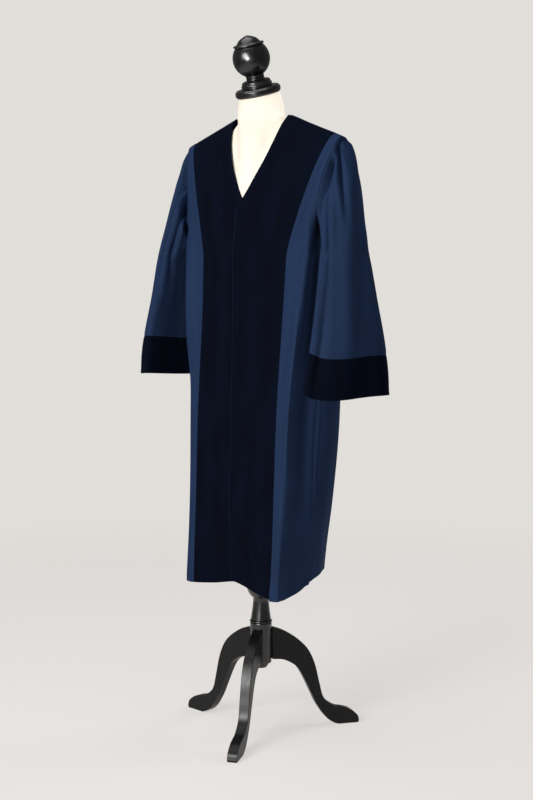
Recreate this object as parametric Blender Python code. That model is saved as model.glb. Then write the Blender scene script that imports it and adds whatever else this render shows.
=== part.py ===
"""Judicial robe worn on a limbless dress form with a turned finial and a tripod stand.

Metres, +Z up, the floor is Z = 0. The front faces -Y and the wearer's left is +X.
Run with: blender --background --python part.py
"""
import math
from typing import NamedTuple

import bmesh
import bpy
import numpy as np
from mathutils import Matrix

# Cloth and seams
WALL = 0.0020
SEAM_GAP = 0.0003
ARMHOLE_GAP = 0.0017

# Shoulders, neckline and armholes
NECK_X = 0.088
NECK_Z = 1.487
SHOULDER_X = 0.2505
SHOULDER_Z = 1.430
BAND_RIDGE_X = 0.230
V_BOTTOM_Z = 1.2926
V_BOW = 0.59
BACK_NECK_Z = 1.463
CHEST_Z = 1.165
UNDERARM_Z = 1.190
ARMHOLE_HOLLOW_FRONT = 0.018
ARMHOLE_HOLLOW_BACK = 0.004
ARMHOLE_CURVE = 2.2
UNDERARM_EASE = 0.002
SEAM_OUTWARD = 0.45
SEAM_OUTWARD_RISE = 0.15
SEAM_HALF_DEPTH = 0.050
SEAM_HALF_HEIGHT = 0.115

# How a panel bends from the chest up to the shoulder ridge
BEND_FRONT = 1.2
BEND_BACK = 2.4
COLUMN_SPREAD = 1.15
ARMHOLE_SPREAD_FRONT = 3.0
ARMHOLE_SPREAD_BACK = 1.7
EVEN_BELOW_Z = 0.95

# Places round the half girth: 0 centre front, 1 band seam, 3 side seam, 5 centre back
BAND_SEAM = 1.0
SIDE_SEAM = 3.0
CENTRE_BACK = 5.0
LAP = 0.10
LAP_FADE = 0.24
LAP_LIFT = WALL / 2 + SEAM_GAP
NECK_POINT_FRONT = 0.45
NECK_POINT_BACK = 4.55
ARMHOLE_FRONT = 1.90
ARMHOLE_BACK = 3.75
ARMHOLE_CROWDING = 4.0

# Mesh counts
V_STEPS = 5
BAND_RIDGE_STEPS = 3
STRAP_STEPS = 2
BACK_NECK_STEPS = 3
BACK_RIDGE_STEPS = 4
ARMHOLE_STEPS = 10
UPPER_ROWS = 7
LOWER_ROWS = 8
SLEEVE_UPPER_ROWS = 9
SLEEVE_LOWER_ROWS = 3
CUFF_ROWS = 2
FORM_SIDES = 32
TURNED_SIDES = 20


class Section(NamedTuple):
    """Half girth of the hanging robe at one height, by its turning points."""

    z: float
    front_y: float
    seam_x: float
    seam_y: float
    corner_x: float
    corner_y: float
    side_x: float
    side_y: float
    back_x: float
    back_y: float
    centre_back_y: float


SECTIONS = (
    Section(0.385, -0.087, 0.131, -0.1025, 0.151, -0.101, 0.154, 0.000, 0.111, 0.0980, 0.120),
    Section(0.470, -0.092, 0.132, -0.0985, 0.156, -0.093, 0.163, 0.002, 0.120, 0.0990, 0.126),
    Section(0.570, -0.093, 0.132, -0.0945, 0.161, -0.084, 0.172, 0.003, 0.134, 0.1010, 0.131),
    Section(0.800, -0.089, 0.134, -0.0860, 0.166, -0.076, 0.188, 0.005, 0.155, 0.1060, 0.138),
    Section(1.060, -0.085, 0.136, -0.0670, 0.192, -0.064, 0.206, 0.006, 0.162, 0.0980, 0.134),
    Section(1.165, -0.085, 0.139, -0.0620, 0.199, -0.055, 0.214, 0.004, 0.168, 0.0880, 0.128),
)


class HemPoint(NamedTuple):
    """Height of the hem at a place round the half girth."""

    place: float
    z: float


HEM = (
    HemPoint(-1.0, 0.369),
    HemPoint(0.0, 0.383),
    HemPoint(1.0, 0.369),
    HemPoint(2.0, 0.368),
    HemPoint(3.0, 0.385),
    HemPoint(4.0, 0.400),
    HemPoint(5.0, 0.402),
    HemPoint(6.0, 0.400),
)


class Fold(NamedTuple):
    """Soft upright fold: its place round the girth, negative on the wearer's right."""

    place: float
    width: float
    depth: float
    top_z: float


FOLDS = (
    Fold(1.85, 0.34, 0.0150, 0.75),
    Fold(2.42, 0.18, -0.0050, 0.90),
    Fold(2.78, 0.22, 0.0060, 0.95),
    Fold(3.15, 0.18, -0.0060, 1.05),
    Fold(3.45, 0.18, 0.0050, 1.00),
    Fold(3.72, 0.20, -0.0090, 1.10),
    Fold(4.10, 0.20, 0.0090, 1.10),
    Fold(4.46, 0.18, -0.0100, 1.05),
    Fold(4.80, 0.18, 0.0080, 1.00),
    Fold(-1.60, 0.24, -0.0030, 0.85),
    Fold(-2.30, 0.30, 0.0050, 0.95),
    Fold(-2.80, 0.22, -0.0060, 1.00),
    Fold(-3.25, 0.26, 0.0080, 1.08),
    Fold(-3.65, 0.20, -0.0090, 1.02),
    Fold(-4.02, 0.22, 0.0100, 1.10),
    Fold(-4.42, 0.20, -0.0090, 1.08),
    Fold(-4.86, 0.20, -0.0060, 1.00),
)


class SleeveSection(NamedTuple):
    """Ellipse of the hanging sleeve at one height."""

    z: float
    centre_x: float
    centre_y: float
    long_half: float
    short_half: float


SLEEVE_TURN = math.radians(17.7)
SLEEVE_JOIN_Z = 1.120
SLEEVE_LEAVE_OUT = 0.66
SLEEVE_LEAVE_DOWN = 0.80
SLEEVE_LEAVE_REACH = 0.26
SLEEVE_JOIN_REACH = 0.34
SLEEVE_OUTSIDE_DROP = 0.14
SLEEVE_UNDERARM_LIFT = 0.45
CUFF_HEIGHT = 0.092
SLEEVE = (
    SleeveSection(0.840, 0.3060, -0.0370, 0.1110, 0.0330),
    SleeveSection(0.950, 0.3090, -0.0340, 0.0955, 0.0320),
    SleeveSection(1.070, 0.2980, -0.0285, 0.0740, 0.0300),
    SleeveSection(1.120, 0.2930, -0.0270, 0.0660, 0.0295),
)


class CuffHang(NamedTuple):
    """How a cuff hangs: height of its top seam, fall towards the back and droop outside."""

    top_z: float
    fall: float
    droop: float


CUFF_HANGS = {"left": CuffHang(0.948, 0.09, 0.018), "right": CuffHang(0.956, 0.09, 0.003)}
DROOP_DEG = 40.0
DROOP_WIDTH_DEG = 55.0


class Pleat(NamedTuple):
    """Pleat of a sleeve head, from the armhole seam down to where it fades."""

    start_deg: float
    end_deg: float
    width_deg: float
    depth: float
    length: float


PLEATS = (
    Pleat(24.0, 118.0, 12.0, 0.0120, 0.62),
    Pleat(5.0, 46.0, 11.0, 0.0100, 0.50),
    Pleat(-14.0, -30.0, 11.0, 0.0090, 0.45),
    Pleat(-33.0, -96.0, 12.0, 0.0110, 0.60),
)
PLEAT_ONSET = 0.14
PLEAT_STEEPNESS = 0.30


class FormRing(NamedTuple):
    """Level ring of the dress form: shoulder part and neck part."""

    z: float
    half_width: float
    front: float
    back: float
    neck_radius: float
    neck_y: float


FORM_RINGS = (
    FormRing(0.800, 0.148, 0.070, 0.092, 0.030, 0.000),
    FormRing(0.880, 0.142, 0.068, 0.088, 0.030, 0.000),
    FormRing(0.980, 0.138, 0.067, 0.084, 0.030, 0.000),
    FormRing(1.080, 0.156, 0.073, 0.092, 0.030, 0.000),
    FormRing(1.165, 0.172, 0.0765, 0.104, 0.035, 0.000),
    FormRing(1.230, 0.178, 0.0735, 0.104, 0.040, 0.000),
    FormRing(1.290, 0.182, 0.0640, 0.100, 0.045, -0.012),
    FormRing(1.340, 0.186, 0.0550, 0.092, 0.048, -0.013),
    FormRing(1.385, 0.189, 0.0450, 0.082, 0.050, -0.012),
    FormRing(1.415, 0.189, 0.0365, 0.072, 0.052, -0.010),
    FormRing(1.435, 0.183, 0.0290, 0.060, 0.053, -0.009),
)
FORM_BOTTOM_Z = FORM_RINGS[0].z
FORM_RIDGE_DROP = 0.0034
FORM_RIDGE_LEVELS = (1.452, 1.462, 1.472, 1.479)
FORM_RIDGE_FRONT = 0.95
FORM_RIDGE_BACK = 1.7
FORM_RIDGE_CURVE = 0.13
FORM_RIDGE_NECK = 0.0540
FORM_RIDGE_NECK_GROWTH = 0.0040
FORM_RIDGE_NECK_Y = -0.0080
UNION_POWER = 14.0


class NeckRing(NamedTuple):
    """Ring of the form's neck, tilted forward by part of the finial's lean."""

    y: float
    z: float
    radius: float
    lean_share: float


NECK_RINGS = (
    NeckRing(-0.0060, 1.4915, 0.0575, 0.25),
    NeckRing(-0.0085, 1.5080, 0.0545, 0.55),
    NeckRing(-0.0120, 1.5260, 0.0515, 0.85),
    NeckRing(-0.0159, 1.5384, 0.0500, 1.00),
)

# Turned finial, along an axis that leans forward from the neck
FINIAL_LEAN = math.radians(17.0)
FINIAL_FOOT = (0.0, -0.0160, 1.5387)
NECK_PLATE_RADIUS = 0.054
NECK_PLATE_TOP = 0.0175
COLLAR_TOP = 0.0400
BALL_CENTRE = 0.0850
BALL_RADIUS = 0.0440
CAP_RING_RADIUS = 0.0370
CAP_FOOT = 0.1145
TIP = 0.1385

# Post, hub and legs of the stand
POST_PLATE_RADIUS = 0.0450
POST_PLATE_THICKNESS = 0.0200
HUB_RADIUS = 0.0265
HUB_BOTTOM = 0.168
HUB_TOP = 0.2700
RING_TOP = 0.2760
LEG_COUNT = 3
LEG_FIRST_DEG = -60.0
LEG_THICKNESS = 0.024
LEG_ROOT = HUB_RADIUS + 0.0005
LEG_EDGE_STEPS = 12
LEG_TOE = 0.2505
LEG_BEVEL = 0.004


class OutlinePoint(NamedTuple):
    """Point of a leg's side view: distance from the post and height."""

    reach: float
    height: float


LEG_TOP_EDGE = (
    OutlinePoint(LEG_ROOT, 0.2560),
    OutlinePoint(0.0600, 0.2430),
    OutlinePoint(0.0940, 0.2210),
    OutlinePoint(0.1185, 0.1955),
    OutlinePoint(0.1360, 0.1580),
    OutlinePoint(0.1480, 0.1100),
    OutlinePoint(0.1600, 0.0700),
    OutlinePoint(0.1880, 0.0470),
    OutlinePoint(0.2300, 0.0340),
    OutlinePoint(0.2480, 0.0200),
    OutlinePoint(0.2530, 0.0060),
)
LEG_LOWER_EDGE = (
    OutlinePoint(0.1990, 0.0000),
    OutlinePoint(0.1700, 0.0160),
    OutlinePoint(0.1520, 0.0370),
    OutlinePoint(0.1370, 0.0640),
    OutlinePoint(0.1185, 0.1030),
    OutlinePoint(0.1005, 0.1390),
    OutlinePoint(0.0790, 0.1620),
    OutlinePoint(0.0550, 0.1740),
    OutlinePoint(LEG_ROOT, 0.1770),
)

# Finishes: linear colour, roughness
VELVET = ("velvet", (0.0045, 0.0065, 0.0160), 0.90)
CLOTH = ("navy_cloth", (0.0160, 0.0280, 0.0720), 0.75)
IVORY = ("ivory_form", (0.9000, 0.8400, 0.7000), 0.70)
LACQUER = ("black_lacquer", (0.0120, 0.0120, 0.0130), 0.30)


def clear_scene():
    """Remove every object of the open scene."""
    for old in list(bpy.data.objects):
        bpy.data.objects.remove(old, do_unlink=True)


def material(finish):
    """Return the material of a finish, made once."""
    name, colour, roughness = finish
    found = bpy.data.materials.get(name)
    if found:
        return found
    made = bpy.data.materials.new(name)
    made.use_nodes = True
    shader = made.node_tree.nodes["Principled BSDF"]
    shader.inputs["Base Color"].default_value = (*colour, 1.0)
    shader.inputs["Roughness"].default_value = roughness
    shader.inputs["Metallic"].default_value = 0.0
    return made


def add_object(name, mesh, finish):
    """Link a mesh as a named object with its own finish."""
    mesh.materials.append(material(finish))
    made = bpy.data.objects.new(name, mesh)
    bpy.context.collection.objects.link(made)
    return made


def mesh_from_bmesh(name, shape):
    """Turn a closed bmesh into a mesh whose faces point out."""
    bmesh.ops.recalc_face_normals(shape, faces=shape.faces)
    if shape.calc_volume(signed=True) < 0.0:
        bmesh.ops.reverse_faces(shape, faces=shape.faces)
    mesh = bpy.data.meshes.new(name)
    shape.to_mesh(mesh)
    shape.free()
    mesh.shade_smooth()
    mesh.set_sharp_from_angle(angle=math.radians(40.0))
    return mesh


def spline(knots, values, place):
    """Read a smooth curve through the values at a place among the knots."""
    knots = np.asarray(knots, dtype=float)
    values = np.asarray(values, dtype=float)
    slopes = np.gradient(values, knots, axis=0)
    low = int(np.clip(np.searchsorted(knots, place) - 1, 0, len(knots) - 2))
    step = knots[low + 1] - knots[low]
    t = (place - knots[low]) / step
    return (
        (1 + 2 * t) * (1 - t) ** 2 * values[low]
        + t * (1 - t) ** 2 * step * slopes[low]
        + t * t * (3 - 2 * t) * values[low + 1]
        + t * t * (t - 1) * step * slopes[low + 1]
    )


def ease(value):
    """Return a smooth step from 0 to 1."""
    value = min(max(value, 0.0), 1.0)
    return value * value * (3.0 - 2.0 * value)


def unit(vector):
    """Return a vector at length 1."""
    return vector / max(np.linalg.norm(vector), 1e-12)


def section_point(place, z):
    """Return x and y of the robe at a place round its half girth and a height."""
    row = Section(*spline([s.z for s in SECTIONS], SECTIONS, max(z, SECTIONS[0].z)))
    turns = (
        (-row.seam_x, row.seam_y),
        (0.0, row.front_y),
        (row.seam_x, row.seam_y),
        (row.corner_x, row.corner_y),
        (row.side_x, row.side_y),
        (row.back_x, row.back_y),
        (0.0, row.centre_back_y),
        (-row.back_x, row.back_y),
    )
    return spline(range(-1, 7), turns, place)


def fold_depth(place, z, side):
    """Return how far the folds move the cloth out at a place and height."""
    total = 0.0
    for fold in FOLDS:
        apart = abs(side * place - fold.place)
        apart = min(apart, 2 * CENTRE_BACK - apart)
        reach = ease((fold.top_z - z) / (fold.top_z - HEM[0].z))
        total += fold.depth * reach * math.exp(-((apart / fold.width) ** 2))
    return total


def lap_lift(place, side):
    """Return how far the left front lies out, and the right front in, at the lap."""
    return side * LAP_LIFT * ease((LAP_FADE - place) / (LAP_FADE - LAP))


def ridge_z(x):
    """Return the height of the shoulder ridge at a distance from the centre."""
    slope = (NECK_Z - SHOULDER_Z) / (SHOULDER_X - NECK_X)
    return NECK_Z - slope * max(x - NECK_X, 0.0)


def v_line_x(share):
    """Return where the bowed V neckline runs at a share of its height."""
    return NECK_X * share * (1.0 + V_BOW * (1.0 - share))


class Column(NamedTuple):
    """Drape line of a panel, from its top edge down to the hem."""

    low_place: float
    chest_place: float
    top_x: float
    top_z: float
    edge: str
    spread: float = COLUMN_SPREAD


def armhole_column(share, front):
    """Return the column that ends on the armhole, share 1 at the shoulder, 0 at the underarm."""
    tip = ARMHOLE_FRONT if front else ARMHOLE_BACK
    hollow = ARMHOLE_HOLLOW_FRONT if front else ARMHOLE_HOLLOW_BACK
    side_x = section_point(SIDE_SEAM, CHEST_Z)[0] + UNDERARM_EASE
    crowd = 1.0 - (1.0 - share) ** ARMHOLE_CROWDING
    return Column(
        SIDE_SEAM + (tip - SIDE_SEAM) * (2.0 / math.pi) * math.asin(min(share, 1.0)),
        SIDE_SEAM + (tip - SIDE_SEAM) * crowd,
        side_x + (SHOULDER_X - side_x) * share ** ARMHOLE_CURVE - hollow * math.sin(math.pi * share),
        UNDERARM_Z + (SHOULDER_Z - UNDERARM_Z) * share,
        "armhole",
        ARMHOLE_SPREAD_FRONT if front else ARMHOLE_SPREAD_BACK,
    )


def armhole_shares():
    """Return the shares of the armhole's columns, from the shoulder down."""
    return [1.0 - math.sin(0.5 * math.pi * i / ARMHOLE_STEPS) for i in range(ARMHOLE_STEPS + 1)]


def band_columns():
    """Return the velvet band's columns, from its lap edge to its outer seam."""
    columns = []
    for place in (-LAP, -LAP / 2):
        x = section_point(place, CHEST_Z)[0]
        top_z = V_BOTTOM_Z + (NECK_Z - V_BOTTOM_Z) * x / (NECK_X * (1.0 + V_BOW))
        columns.append(Column(place, place, x, top_z, "neck"))
    for i in range(V_STEPS + 1):
        share = i / V_STEPS
        place = NECK_POINT_FRONT * share
        top_z = V_BOTTOM_Z + (NECK_Z - V_BOTTOM_Z) * share
        edge = "ridge" if i == V_STEPS else "neck"
        columns.append(Column(place, place, v_line_x(share), top_z, edge))
    for i in range(1, BAND_RIDGE_STEPS + 1):
        share = i / BAND_RIDGE_STEPS
        place = NECK_POINT_FRONT + (BAND_SEAM - NECK_POINT_FRONT) * share
        x = NECK_X + (BAND_RIDGE_X - NECK_X) * share
        columns.append(Column(place, place, x, ridge_z(x), "ridge"))
    return columns


def side_columns():
    """Return the side front's columns, from the band's seam to the side seam."""
    columns = []
    for i in range(1, STRAP_STEPS):
        share = i / STRAP_STEPS
        place = BAND_SEAM + (ARMHOLE_FRONT - BAND_SEAM) * share
        x = BAND_RIDGE_X + (SHOULDER_X - BAND_RIDGE_X) * share
        spread = COLUMN_SPREAD + (ARMHOLE_SPREAD_FRONT - COLUMN_SPREAD) * share
        columns.append(Column(place, place, x, ridge_z(x), "ridge", spread))
    columns.extend(armhole_column(share, True) for share in armhole_shares())
    return columns


def back_columns():
    """Return one half of the back's columns, from the side seam to the centre back."""
    columns = [armhole_column(share, False) for share in reversed(armhole_shares())]
    for i in range(1, BACK_RIDGE_STEPS + 1):
        share = i / BACK_RIDGE_STEPS
        place = ARMHOLE_BACK + (NECK_POINT_BACK - ARMHOLE_BACK) * share
        x = SHOULDER_X + (NECK_X - SHOULDER_X) * share
        spread = ARMHOLE_SPREAD_BACK + (COLUMN_SPREAD - ARMHOLE_SPREAD_BACK) * share
        columns.append(Column(place, place, x, ridge_z(x), "ridge", spread))
    for i in range(1, BACK_NECK_STEPS + 1):
        share = i / BACK_NECK_STEPS
        place = NECK_POINT_BACK + (CENTRE_BACK - NECK_POINT_BACK) * share
        x = NECK_X * math.cos(0.5 * math.pi * share)
        top_z = BACK_NECK_Z + (NECK_Z - BACK_NECK_Z) * (x / NECK_X) ** 2
        columns.append(Column(place, place, x, top_z, "neck"))
    return columns


def upper_point(column, share, side, front):
    """Return a point between the chest and a column's top edge."""
    x_low, y_low = section_point(column.chest_place, CHEST_Z)
    z = CHEST_Z + share * (column.top_z - CHEST_Z)
    x = x_low + (column.top_x - x_low) * share ** column.spread
    rise = min((z - CHEST_Z) / (ridge_z(x) - CHEST_Z), 1.0)
    y = y_low * math.sqrt(1.0 - rise ** (BEND_FRONT if front else BEND_BACK))
    lift = lap_lift(column.chest_place, side) if front else 0.0
    return np.array((side * x, y - lift, z))


def lower_point(column, share, side):
    """Return a point between the chest and the hem."""
    hem_z = spline([h.place for h in HEM], [h.z for h in HEM], column.low_place)
    z = CHEST_Z + share * (hem_z - CHEST_Z)
    blend = ease((CHEST_Z - z) / (CHEST_Z - EVEN_BELOW_Z))
    place = column.chest_place + blend * (column.low_place - column.chest_place)
    x, y = section_point(place, z)
    ahead = section_point(place + 0.05, z) - section_point(place - 0.05, z)
    outward = unit(np.array((ahead[1], -ahead[0])))
    move = fold_depth(place, z, side)
    x, y = np.array((x, y)) + move * outward
    lift = lap_lift(place, side) if place < BAND_SEAM else 0.0
    return np.array((side * x, y - lift, z))


def column_points(column, side, front):
    """Return a column's points from its top edge to the hem."""
    points = []
    for i in range(UPPER_ROWS):
        share = math.cos(0.5 * math.pi * i / UPPER_ROWS)
        points.append(upper_point(column, share, side, front))
    for i in range(LOWER_ROWS + 1):
        points.append(lower_point(column, i / LOWER_ROWS, side))
    return points


def armhole_normal(point, side):
    """Return the direction that body and sleeve share at their seam."""
    centre_z = 0.5 * (UNDERARM_Z + SHOULDER_Z)
    rise = (point[2] - centre_z) / SEAM_HALF_HEIGHT
    radial = unit(np.array((point[1] / SEAM_HALF_DEPTH, rise)))
    outward = SEAM_OUTWARD + SEAM_OUTWARD_RISE * radial[1]
    return unit(np.array((side * outward, radial[0], radial[1])))


def grid_normals(points):
    """Return the outward directions of a grid of points by central differences."""
    along = np.gradient(points, axis=0)
    across = np.gradient(points, axis=1)
    normals = np.cross(along, across)
    return normals / np.linalg.norm(normals, axis=2, keepdims=True)


def half_body(side):
    """Return the points and outward directions of one half of the robe's body."""
    front = band_columns() + side_columns()
    back = back_columns()
    lines = [column_points(c, side, True) for c in front]
    lines += [column_points(c, side, False) for c in back[1:]]
    columns = front + back[1:]
    points = np.array(lines).transpose(1, 0, 2)
    normals = side * grid_normals(points)
    ridge = unit(np.array((NECK_Z - SHOULDER_Z, 0.0, SHOULDER_X - NECK_X)))
    for i, column in enumerate(columns):
        if column.edge == "ridge":
            normals[0, i] = ridge * (side, 1, 1)
        elif column.edge == "armhole":
            normals[0, i] = armhole_normal(points[0, i], side)
    normals[:, -1, 0] = 0.0
    normals[:, -1] /= np.linalg.norm(normals[:, -1], axis=1, keepdims=True)
    return points, normals, len(band_columns()), len(front)


def trim(points, left=0.0, right=0.0, top=0.0):
    """Return a grid with its edges drawn in along the cloth."""
    cut = points.copy()
    edges = (
        (left, (slice(None), 0), (slice(None), 1)),
        (right, (slice(None), -1), (slice(None), -2)),
        (top, (0, slice(None)), (1, slice(None))),
    )
    for amount, edge, inside in edges:
        if amount > 0.0:
            inward = points[inside] - points[edge]
            cut[edge] += amount * inward / np.linalg.norm(inward, axis=1, keepdims=True)
    return cut


def split_quad(points, quad):
    """Return the two triangles of a quad, split along its shorter diagonal."""
    a, b, c, d = quad
    if np.linalg.norm(points[a] - points[c]) < np.linalg.norm(points[b] - points[d]):
        return (a, b, c), (a, c, d)
    return (a, b, d), (b, c, d)


def cloth_wall(name, points, normals, finish, tube=False):
    """Build a closed wall of even thickness round a grid of points."""
    rows, columns = points.shape[:2]
    half = 0.5 * WALL * normals
    vertices = np.concatenate(((points + half).reshape(-1, 3), (points - half).reshape(-1, 3)))
    inner = rows * columns
    faces = []
    spans = columns if tube else columns - 1
    for r in range(rows - 1):
        for c in range(spans):
            a, b = r * columns + c, r * columns + (c + 1) % columns
            for corners in split_quad(points.reshape(-1, 3), (a, b, b + columns, a + columns)):
                faces.append(corners)
                faces.append(tuple(inner + v for v in reversed(corners)))
    for r in (0, rows - 1):
        for c in range(spans):
            a, b = r * columns + c, r * columns + (c + 1) % columns
            faces.append((a, b, inner + b, inner + a))
    if not tube:
        for c in (0, columns - 1):
            for r in range(rows - 1):
                a, b = r * columns + c, (r + 1) * columns + c
                faces.append((a, b, inner + b, inner + a))
    mesh = bpy.data.meshes.new(name)
    mesh.from_pydata(vertices.tolist(), [], faces)
    shape = bmesh.new()
    shape.from_mesh(mesh)
    bpy.data.meshes.remove(mesh)
    return add_object(name, mesh_from_bmesh(name, shape), finish)


def build_body():
    """Build the velvet bands, the side fronts and the back."""
    gap = SEAM_GAP / 2
    backs = {}
    for label, side in (("left", 1), ("right", -1)):
        points, normals, band_end, front_end = half_body(side)
        band = slice(0, band_end)
        band_points = trim(points[:, band], right=gap, top=gap)
        cloth_wall(f"front_band_{label}", band_points, normals[:, band], VELVET)
        panel = slice(band_end - 1, front_end)
        panel_points = trim(points[:, panel], left=gap, right=gap)
        ridge = slice(0, STRAP_STEPS + 1)
        panel_points[:, ridge] = trim(panel_points[:, ridge], top=gap)
        cloth_wall(f"side_front_{label}", panel_points, normals[:, panel], CLOTH)
        half = slice(front_end - 1, None)
        backs[side] = (points[:, half], normals[:, half])
    points = np.concatenate((backs[-1][0], backs[1][0][:, -2::-1]), axis=1)
    normals = np.concatenate((backs[-1][1], backs[1][1][:, -2::-1]), axis=1)
    ridge = slice(ARMHOLE_STEPS, points.shape[1] - ARMHOLE_STEPS)
    points = trim(points, left=gap, right=gap)
    points[:, ridge] = trim(points[:, ridge], top=gap)
    cloth_wall("back", points, normals, CLOTH)


def armhole_ring(side):
    """Return the armhole's seam points and shared directions, from the top round the front."""
    front = [upper_point(armhole_column(s, True), 1.0, side, True) for s in armhole_shares()]
    back = [upper_point(armhole_column(s, False), 1.0, side, False) for s in armhole_shares()]
    knots = front + back[-2:0:-1]
    points = []
    for knot, after in zip(knots, knots[1:] + knots[:1]):
        points.append(knot)
        points.append(0.5 * (knot + after))
    normals = [armhole_normal(p, side) for p in points]
    return np.array(points) + (side * ARMHOLE_GAP, 0.0, 0.0), np.array(normals)


def sleeve_ellipse(angle, z, side):
    """Return a point of the hanging sleeve: angle 0 outside, a quarter turn at the front."""
    knots = [s.z for s in SLEEVE]
    row = SleeveSection(*spline(knots, SLEEVE, min(z, knots[-1])))
    along_x, along_y = math.sin(SLEEVE_TURN), math.cos(SLEEVE_TURN)
    long_part = -row.long_half * math.sin(angle)
    short_part = row.short_half * math.cos(angle)
    x = row.centre_x + long_part * along_x + short_part * along_y
    y = row.centre_y + long_part * along_y - short_part * along_x
    return np.array((side * x, y, z))


def cuff_top_point(angle, label, side, drop=0.0):
    """Return a point on the seam that joins sleeve and cuff, or straight below it."""
    hang = CUFF_HANGS[label]
    level = sleeve_ellipse(angle, hang.top_z, side)
    apart = (math.degrees(angle) - DROOP_DEG + 180.0) % 360.0 - 180.0
    droop = hang.droop * math.exp(-((apart / DROOP_WIDTH_DEG) ** 2))
    z = hang.top_z - hang.fall * (level[1] - SLEEVE[1].centre_y) - droop
    return sleeve_ellipse(angle, z - drop, side)


def pleat_depth(angle_deg, share):
    """Return how far the pleats draw the sleeve in at an angle and a share of its height."""
    total = 0.0
    for pleat in PLEATS:
        run = min(share / pleat.length, 1.0)
        centre = pleat.start_deg + (pleat.end_deg - pleat.start_deg) * ease(run)
        apart = (angle_deg - centre + 180.0) % 360.0 - 180.0
        grow = ease(share / PLEAT_ONSET) * (1.0 - ease(run)) ** 0.7
        total += pleat.depth * grow * math.exp(-((apart / pleat.width_deg) ** 2))
    return total


def sleeve_column(start, normal, angle, label, side):
    """Return a sleeve's column from the armhole seam to the top of the cuff."""
    end = sleeve_ellipse(angle, SLEEVE_JOIN_Z, side)
    below = sleeve_ellipse(angle, SLEEVE_JOIN_Z - 0.02, side)
    reach = np.linalg.norm(end - start)
    tuck = SLEEVE_OUTSIDE_DROP * max(math.cos(angle), 0.0) ** 2
    tuck -= SLEEVE_UNDERARM_LIFT * max(-math.cos(angle), 0.0) ** 2
    out = side * (SLEEVE_LEAVE_OUT - tuck)
    leave = unit(np.array((out, 0.5 * normal[1], -SLEEVE_LEAVE_DOWN - tuck)))
    first = start + SLEEVE_LEAVE_REACH * reach * leave
    second = end + SLEEVE_JOIN_REACH * reach * unit(end - below)
    points = []
    for i in range(SLEEVE_UPPER_ROWS):
        t = (i / SLEEVE_UPPER_ROWS) ** 1.2
        s = 1.0 - t
        points.append(s**3 * start + 3 * s * s * t * first + 3 * s * t * t * second + t**3 * end)
    seam_z = cuff_top_point(angle, label, side)[2]
    for i in range(SLEEVE_LOWER_ROWS + 1):
        z = SLEEVE_JOIN_Z + (seam_z - SLEEVE_JOIN_Z) * i / SLEEVE_LOWER_ROWS
        points.append(sleeve_ellipse(angle, z, side))
    return points


def build_sleeves():
    """Build the pleated sleeves and their velvet cuffs as open tubes."""
    count = 4 * ARMHOLE_STEPS
    rows = SLEEVE_UPPER_ROWS + SLEEVE_LOWER_ROWS + 1
    for label, side in (("left", 1), ("right", -1)):
        ring, ring_normals = armhole_ring(side)
        angles = [2.0 * math.pi * i / count for i in range(count)]
        lines = []
        for start, normal, angle in zip(ring, ring_normals, angles):
            lines.append(sleeve_column(start, normal, angle, label, side))
        points = np.array(lines).transpose(1, 0, 2)
        wrapped = np.concatenate((points[:, -1:], points, points[:, :1]), axis=1)
        normals = -side * grid_normals(wrapped)[:, 1:-1]
        for r in range(1, rows):
            for c in range(count):
                depth = pleat_depth(math.degrees(angles[c]), r / (rows - 1))
                clear = PLEAT_STEEPNESS * np.linalg.norm(points[r, c] - points[0, c])
                points[r, c] -= min(depth, clear) * normals[r, c]
        wrapped = np.concatenate((points[:, -1:], points, points[:, :1]), axis=1)
        normals = -side * grid_normals(wrapped)[:, 1:-1]
        normals[0] = ring_normals
        cloth_wall(f"sleeve_{label}", points, normals, CLOTH, tube=True)
        drops = np.linspace(SEAM_GAP, CUFF_HEIGHT, CUFF_ROWS + 1)
        cuff = np.array([[cuff_top_point(a, label, side, d) for a in angles] for d in drops])
        wrapped = np.concatenate((cuff[:, -1:], cuff, cuff[:, :1]), axis=1)
        cuff_normals = -side * grid_normals(wrapped)[:, 1:-1]
        cuff_normals[0] = normals[-1]
        cloth_wall(f"cuff_{label}", cuff, cuff_normals, VELVET, tube=True)


def loft(name, rings, finish):
    """Build a closed solid through rings of equal count, with flat ends."""
    shape = bmesh.new()
    loops = [[shape.verts.new(point) for point in ring] for ring in rings]
    for lower, upper in zip(loops, loops[1:]):
        for i in range(len(lower)):
            j = (i + 1) % len(lower)
            shape.faces.new((lower[i], lower[j], upper[j], upper[i]))
    shape.faces.new(loops[0])
    shape.faces.new(loops[-1])
    return add_object(name, mesh_from_bmesh(name, shape), finish)


def form_ring(row):
    """Return a level ring of the form: the shoulders' oval joined softly to the neck's circle."""
    ring = []
    for i in range(FORM_SIDES):
        angle = 2.0 * math.pi * i / FORM_SIDES
        across, along = math.cos(angle), math.sin(angle)
        depth = row.back if along > 0 else row.front
        oval = 1.0 / math.hypot(across / row.half_width, along / depth)
        neck = row.neck_y * along + math.sqrt(row.neck_radius**2 - (row.neck_y * across) ** 2)
        radius = (oval**UNION_POWER + neck**UNION_POWER) ** (1.0 / UNION_POWER)
        ring.append((radius * across, radius * along, row.z))
    return ring


def ridge_ring(z):
    """Return the form's ring just under the robe's shoulder ridge at a height."""
    slope = (NECK_Z - SHOULDER_Z) / (SHOULDER_X - NECK_X)
    width = NECK_X + (NECK_Z - FORM_RIDGE_DROP - z) / slope
    below = FORM_RIDGE_CURVE * math.sqrt(NECK_Z - z)
    front = FORM_RIDGE_FRONT * below
    back = FORM_RIDGE_BACK * below
    share = (z - FORM_RIDGE_LEVELS[0]) / (NECK_Z - FORM_RIDGE_LEVELS[0])
    neck = FORM_RIDGE_NECK + FORM_RIDGE_NECK_GROWTH * share
    return form_ring(FormRing(z, width, front, back, neck, FORM_RIDGE_NECK_Y))


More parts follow.
